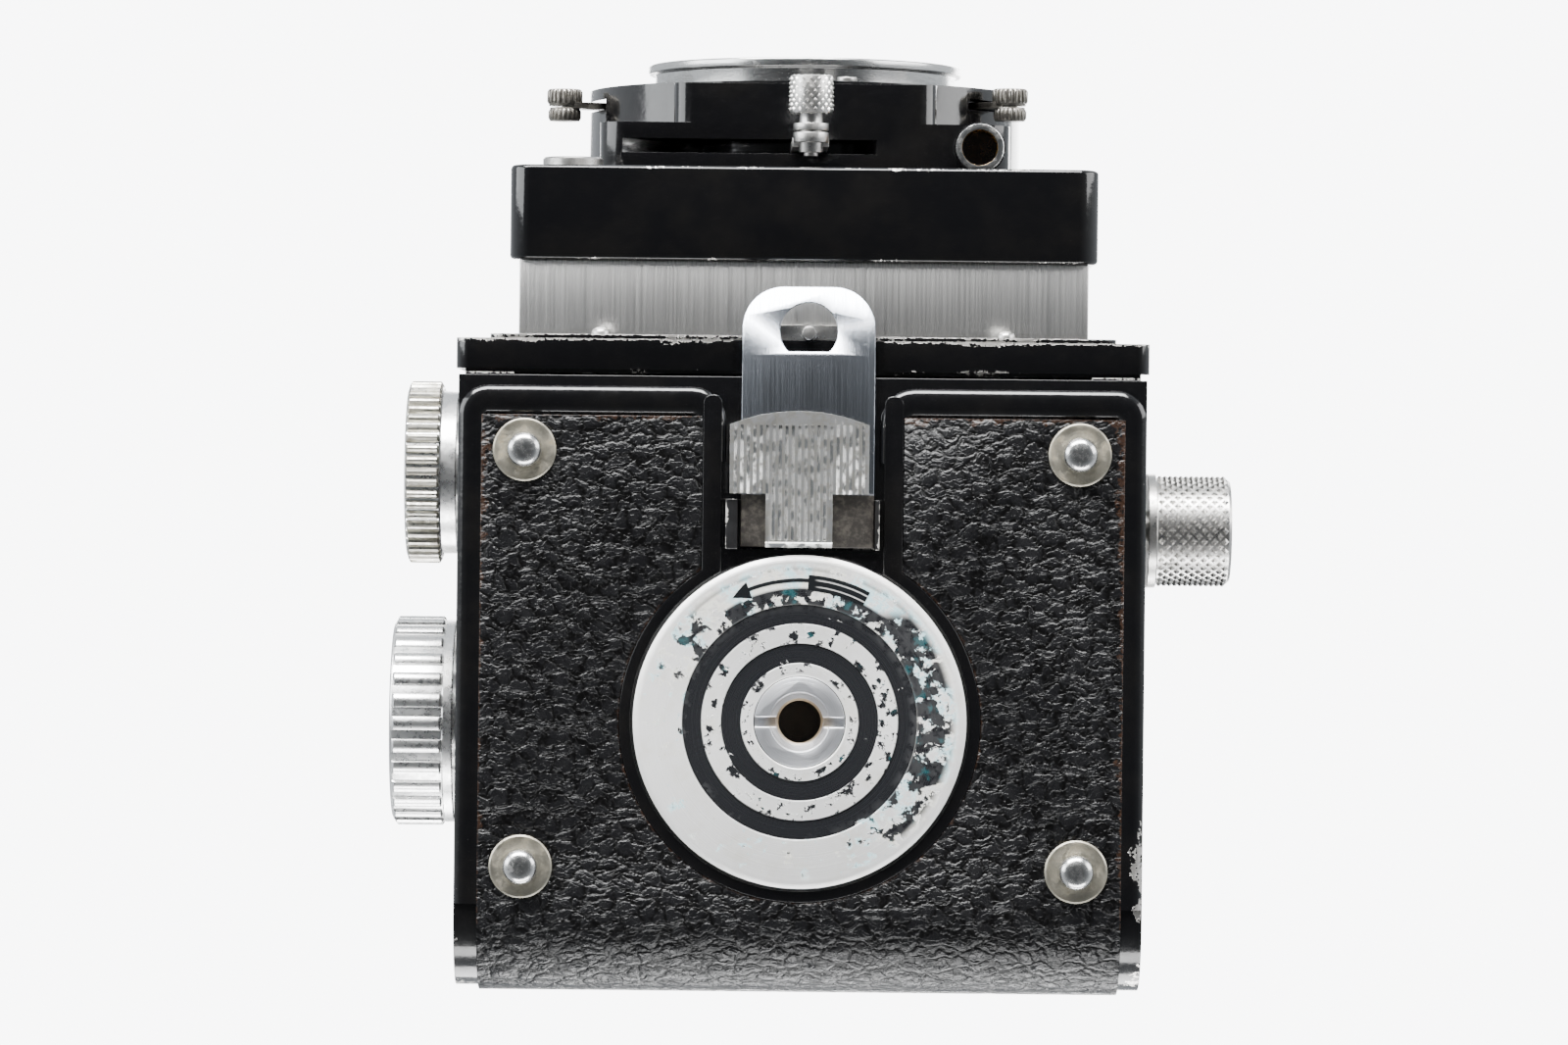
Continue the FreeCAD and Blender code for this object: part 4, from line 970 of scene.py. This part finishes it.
# ---------------------------------------------------------------- lens rings and glass
# Bright turned rings take a hood or filter in front of both lenses; behind them sit the blackened
# barrels and the coated glass.
ring_chrome = drawn_metal("ring_chrome", (0.72, 0.72, 0.71, 1), (0.58, 0.58, 0.57, 1),
                          (0.6, 4.0, 0.6), 0.20, 0.35)
dress("accessory_rings", ring_chrome, 0.2, 3)
barrel_black = enamel("barrel_black", box_mm("lens_barrel"), 0.1, 0.2, 0.35)
dress("lens_barrel", barrel_black, 0.1)


def coated_glass():
    paint, tree, shader, place = finish("coated_glass", Transmission_Weight=1.0, IOR=1.6, Roughness=0.02)
    facing = add(tree, "ShaderNodeLayerWeight", {"Blend": 0.35}).outputs["Facing"]
    haze = noise(tree, place, 0.5, 3.0)
    tint = colour_mix(tree, facing, (0.90, 0.93, 1.0, 1), (0.78, 0.72, 0.95, 1))
    bloom = between(tree, haze, 0.55, 0.9, 0, 0.3)
    feed(tree, shader, Base_Color=colour_mix(tree, bloom, tint, (0.8, 0.85, 0.86, 1)))
    return paint


lens_coating = coated_glass()
for glass in ("taking_lens", "viewing_lens", "magnifier_lens"):
    dress(glass, lens_coating, 0)

# ---------------------------------------------------------------- shutter levers
# Small steel levers with turned, knurled tips: the cocking and release lever under the lens, the
# aperture lever at one side and the speed lever at the other.
dark_nickel = drawn_metal("dark_nickel", (0.34, 0.32, 0.29, 1), (0.16, 0.15, 0.13, 1), (2, 2, 2), 0.32, 0.8,
                          (0.035, 0.028, 0.02, 1))
dress("cocking_lever", nickel, 0.1)
for lever in ("aperture_lever", "speed_lever"):
    dress(lever, dark_nickel, 0.1)

# ---------------------------------------------------------------- winding knob
# A polished aluminium knob with a dished face and rounded flutes milled along its edge; it winds
# the film on.
knob_aluminium = drawn_metal("knob_aluminium", (0.95, 0.95, 0.94, 1), (0.86, 0.86, 0.85, 1),
                             (1, 1, 1), 0.28, 0.2)


def ridge(name, half_width, height, half_length, paint, sunk=0.15):
    """One rounded ridge lying along Z, its crest towards +X, closed all round."""
    section = [(height * rise, half_width * side) if rise else (-sunk, half_width * side) for rise, side in
               ((0, -1), (0.55, -0.86), (0.9, -0.45), (1, 0), (0.9, 0.45), (0.55, 0.86), (0, 1))]
    rows = []
    shape = bmesh.new()
    for along, scale in ((-half_length, 0.4), (-half_length + 0.25, 1.0), (half_length - 0.25, 1.0),
                         (half_length, 0.4)):
        rows.append([shape.verts.new(((x if x < 0 else x * scale) * MM, y * MM, along * MM))
                     for x, y in section])
    skin(shape, rows)
    return new_piece(name, shape, paint)


def diamond(name, half_width, half_length, height, paint):
    """One flat-topped pyramid of a diamond knurl, its top towards +X."""
    shape = bmesh.new()
    base = [(-0.2, -half_width, 0), (-0.2, 0, -half_length), (-0.2, half_width, 0), (-0.2, 0, half_length)]
    top = [(height, y * 0.16, z * 0.16) for x, y, z in base]
    low = [shape.verts.new(Vector(v) * MM) for v in base]
    high = [shape.verts.new(Vector(v) * MM) for v in top]
    skin(shape, [low, high])
    return new_piece(name, shape, paint)


def wrapped(piece, body, axis, middle, radius, count, rows=1, pitch=0.0, stagger=0.0):
    """The small piece repeated round an axis; middle is the band's middle in millimetres."""
    paint = piece.data.materials[0]
    values = {"Count": count, "Rows": rows, "Radius": radius * MM, "Pitch": pitch * MM, "Stagger": stagger,
              "Finish": paint}
    upright = Matrix.Translation(Vector(middle) * MM) @ ONTO_AXIS[axis]
    band_of = repeated(piece, WRAPPED_ROWS, values, upright)
    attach(band_of, body)


WIND_PLACE = (3.0, 89.0)
wind_body = turned("wind_knob_finished", "x", WIND_PLACE,
                   [(-48.4, 0), (-48.4, 9.0), (-48.55, 9.35), (-48.9, 9.6), (-49.0, 9.9), (-49.0, 11.7),
                    (-48.85, 12.05), (-48.5, 12.2), (-42.7, 12.2), (-42.55, 12.32), (-41.55, 12.32),
                    (-41.4, 12.15), (-41.4, 6.0), (-37.4, 6.0), (-37.4, 0)], knob_aluminium, 112)
stand_for(wind_body, "wind_knob")
wrapped(ridge("wind_flutes", 0.88, 0.55, 2.95, knob_aluminium), "wind_knob", "x",
        (-45.7, *WIND_PLACE), 12.15, 28)

# ---------------------------------------------------------------- focusing knob
# A nickelled knob with straight knurling and a smooth collar behind it. Brown grime fills the
# knurl.
focus_nickel = drawn_metal("focus_nickel", (0.66, 0.65, 0.60, 1), (0.52, 0.50, 0.44, 1),
                           (1, 1, 1), 0.30, 0.9, (0.11, 0.085, 0.05, 1))
FOCUS_PLACE = (-27.0, 65.2)
focus_body = turned("focus_knob_finished", "x", FOCUS_PLACE,
                    [(-45.6, 0), (-45.6, 8.3), (-45.8, 8.7), (-46.1, 8.9), (-46.2, 9.2), (-46.2, 9.8),
                     (-46.0, 10.05), (-42.2, 10.05), (-42.0, 9.9), (-42.0, 9.6), (-40.3, 9.6),
                     (-40.2, 9.45), (-40.2, 6.0), (-37.4, 6.0), (-37.4, 0)], knob_aluminium, 96)
stand_for(focus_body, "focus_knob")
wrapped(ridge("focus_knurl", 0.50, 0.70, 1.95, focus_nickel), "focus_knob", "x",
        (-44.1, *FOCUS_PLACE), 10.0, 48)

# ---------------------------------------------------------------- spool knob
# A nickelled steel knob with a diamond knurl and a thin plain flange; pulled out, its pin frees
# the film spool.
SPOOL_PLACE = (-21.0, 15.8)
pull_body = turned("spool_knob_finished", "x", SPOOL_PLACE,
                   [(29.0, 0), (29.0, 2.2), (38.0, 2.2), (38.0, 6.2), (38.1, 6.3), (38.9, 6.3), (39.0, 6.2),
                    (39.0, 5.75), (46.85, 5.75), (47.15, 5.5), (47.2, 5.2), (47.2, 0)], nickel, 72)
stand_for(pull_body, "spool_pull_knob")
wrapped(diamond("spool_knob_knurl", 0.60, 0.62, 0.36, nickel), "spool_pull_knob", "x",
        (42.95, *SPOOL_PLACE), 5.7, 32, 13, 0.58, 0.5)

# ---------------------------------------------------------------- knurled lever tips
# The cocking lever's tip has a diamond knurl for the finger; the two side levers have straight
# knurled buttons above and below their arms.
wrapped(diamond("cocking_knurl", 0.47, 0.52, 0.28, nickel), "cocking_lever", "y",
        (0.618, -68.35, 10.605), 2.2, 16, 8, 0.47, 0.5)
for lever, angle, reach in (("aperture_lever", -75.0, 28.3), ("speed_lever", 56.0, 27.8)):
    turn = math.radians(angle)
    spot = (reach * math.sin(turn), 46.0 - reach * math.cos(turn))
    wrapped(ridge(lever + "_button", 0.22, 0.26, 0.80, dark_nickel), lever, "y",
            (spot[0], -69.65, spot[1]), 1.75, 20)
    wrapped(ridge(lever + "_foot", 0.22, 0.24, 0.62, dark_nickel), lever, "y",
            (spot[0], -67.6, spot[1]), 1.62, 20)

# ---------------------------------------------------------------- hood and dark chamber
# Pressed sheet hood, gloss black and rubbed along its edges. Its flaps, the film chamber and all
# that light could glance off inside are dull black.
hood_enamel = enamel("hood_enamel", box_mm("hood_lid"), 0.5, 1.2)
for part in ("hood_base", "hood_lid"):
    dress(part, hood_enamel, 0.12)


def repaint(paint, *nodes):
    """CAD pieces that keep their own mesh, in this finish."""
    for node in nodes:
        materials = frame["nodes"][node].data.materials
        materials.clear()
        materials.append(paint)


repaint(enamel("dull_enamel", box_mm("light_chamber"), 0.1, 0.1, 0.6),
        "left_flap", "right_flap", "back_flap", "magnifier_frame", "light_chamber", "film_gate",
        "mirror_holder", "screen_frame", "pressure_plate", "tripod_plate", "iris_diaphragm",
        "take_up_spool", "supply_spool")

# ---------------------------------------------------------------- inside works
# Shafts, rollers and pins are polished steel, the film gear brass; the mirror is silvered glass
# and the focusing screen a plate of glass ground matt on one side.
gear_brass = drawn_metal("gear_brass", (0.70, 0.50, 0.20, 1), (0.52, 0.36, 0.13, 1), (3, 3, 0.5), 0.28, 0.6,
                         (0.10, 0.06, 0.02, 1))


def silvered_glass():
    paint, tree, shader, place = finish("silvered_glass", Metallic=1.0, IOR=1.5)
    haze = between(tree, noise(tree, place, 0.15, 5.0, 0.6), 0.45, 0.75)
    feed(tree, shader, Base_Color=colour_mix(tree, haze, (0.86, 0.87, 0.87, 1), (0.70, 0.71, 0.70, 1)),
         Roughness=between(tree, haze, 0, 1, 0.03, 0.12))
    return paint


def ground_glass():
    paint, tree, shader, place = finish("ground_glass", Transmission_Weight=1.0, IOR=1.5)
    grain = noise(tree, place, 6.0, 2.0)
    feed(tree, shader, Base_Color=colour_mix(tree, grain, (0.93, 0.94, 0.94, 1), (0.85, 0.86, 0.86, 1)),
         Roughness=between(tree, grain, 0.3, 0.7, 0.4, 0.55))
    roughen(tree, shader, grain, 0.00002)
    return paint


repaint(nickel, "strap_lugs", "door_hinge_pin", "wind_shaft", "focus_shaft", "lower_roller", "upper_roller",
        "spool_pivots", "pressure_spring")
repaint(gear_brass, "take_up_gear")
repaint(silvered_glass(), "viewing_mirror")
repaint(ground_glass(), "focusing_screen")
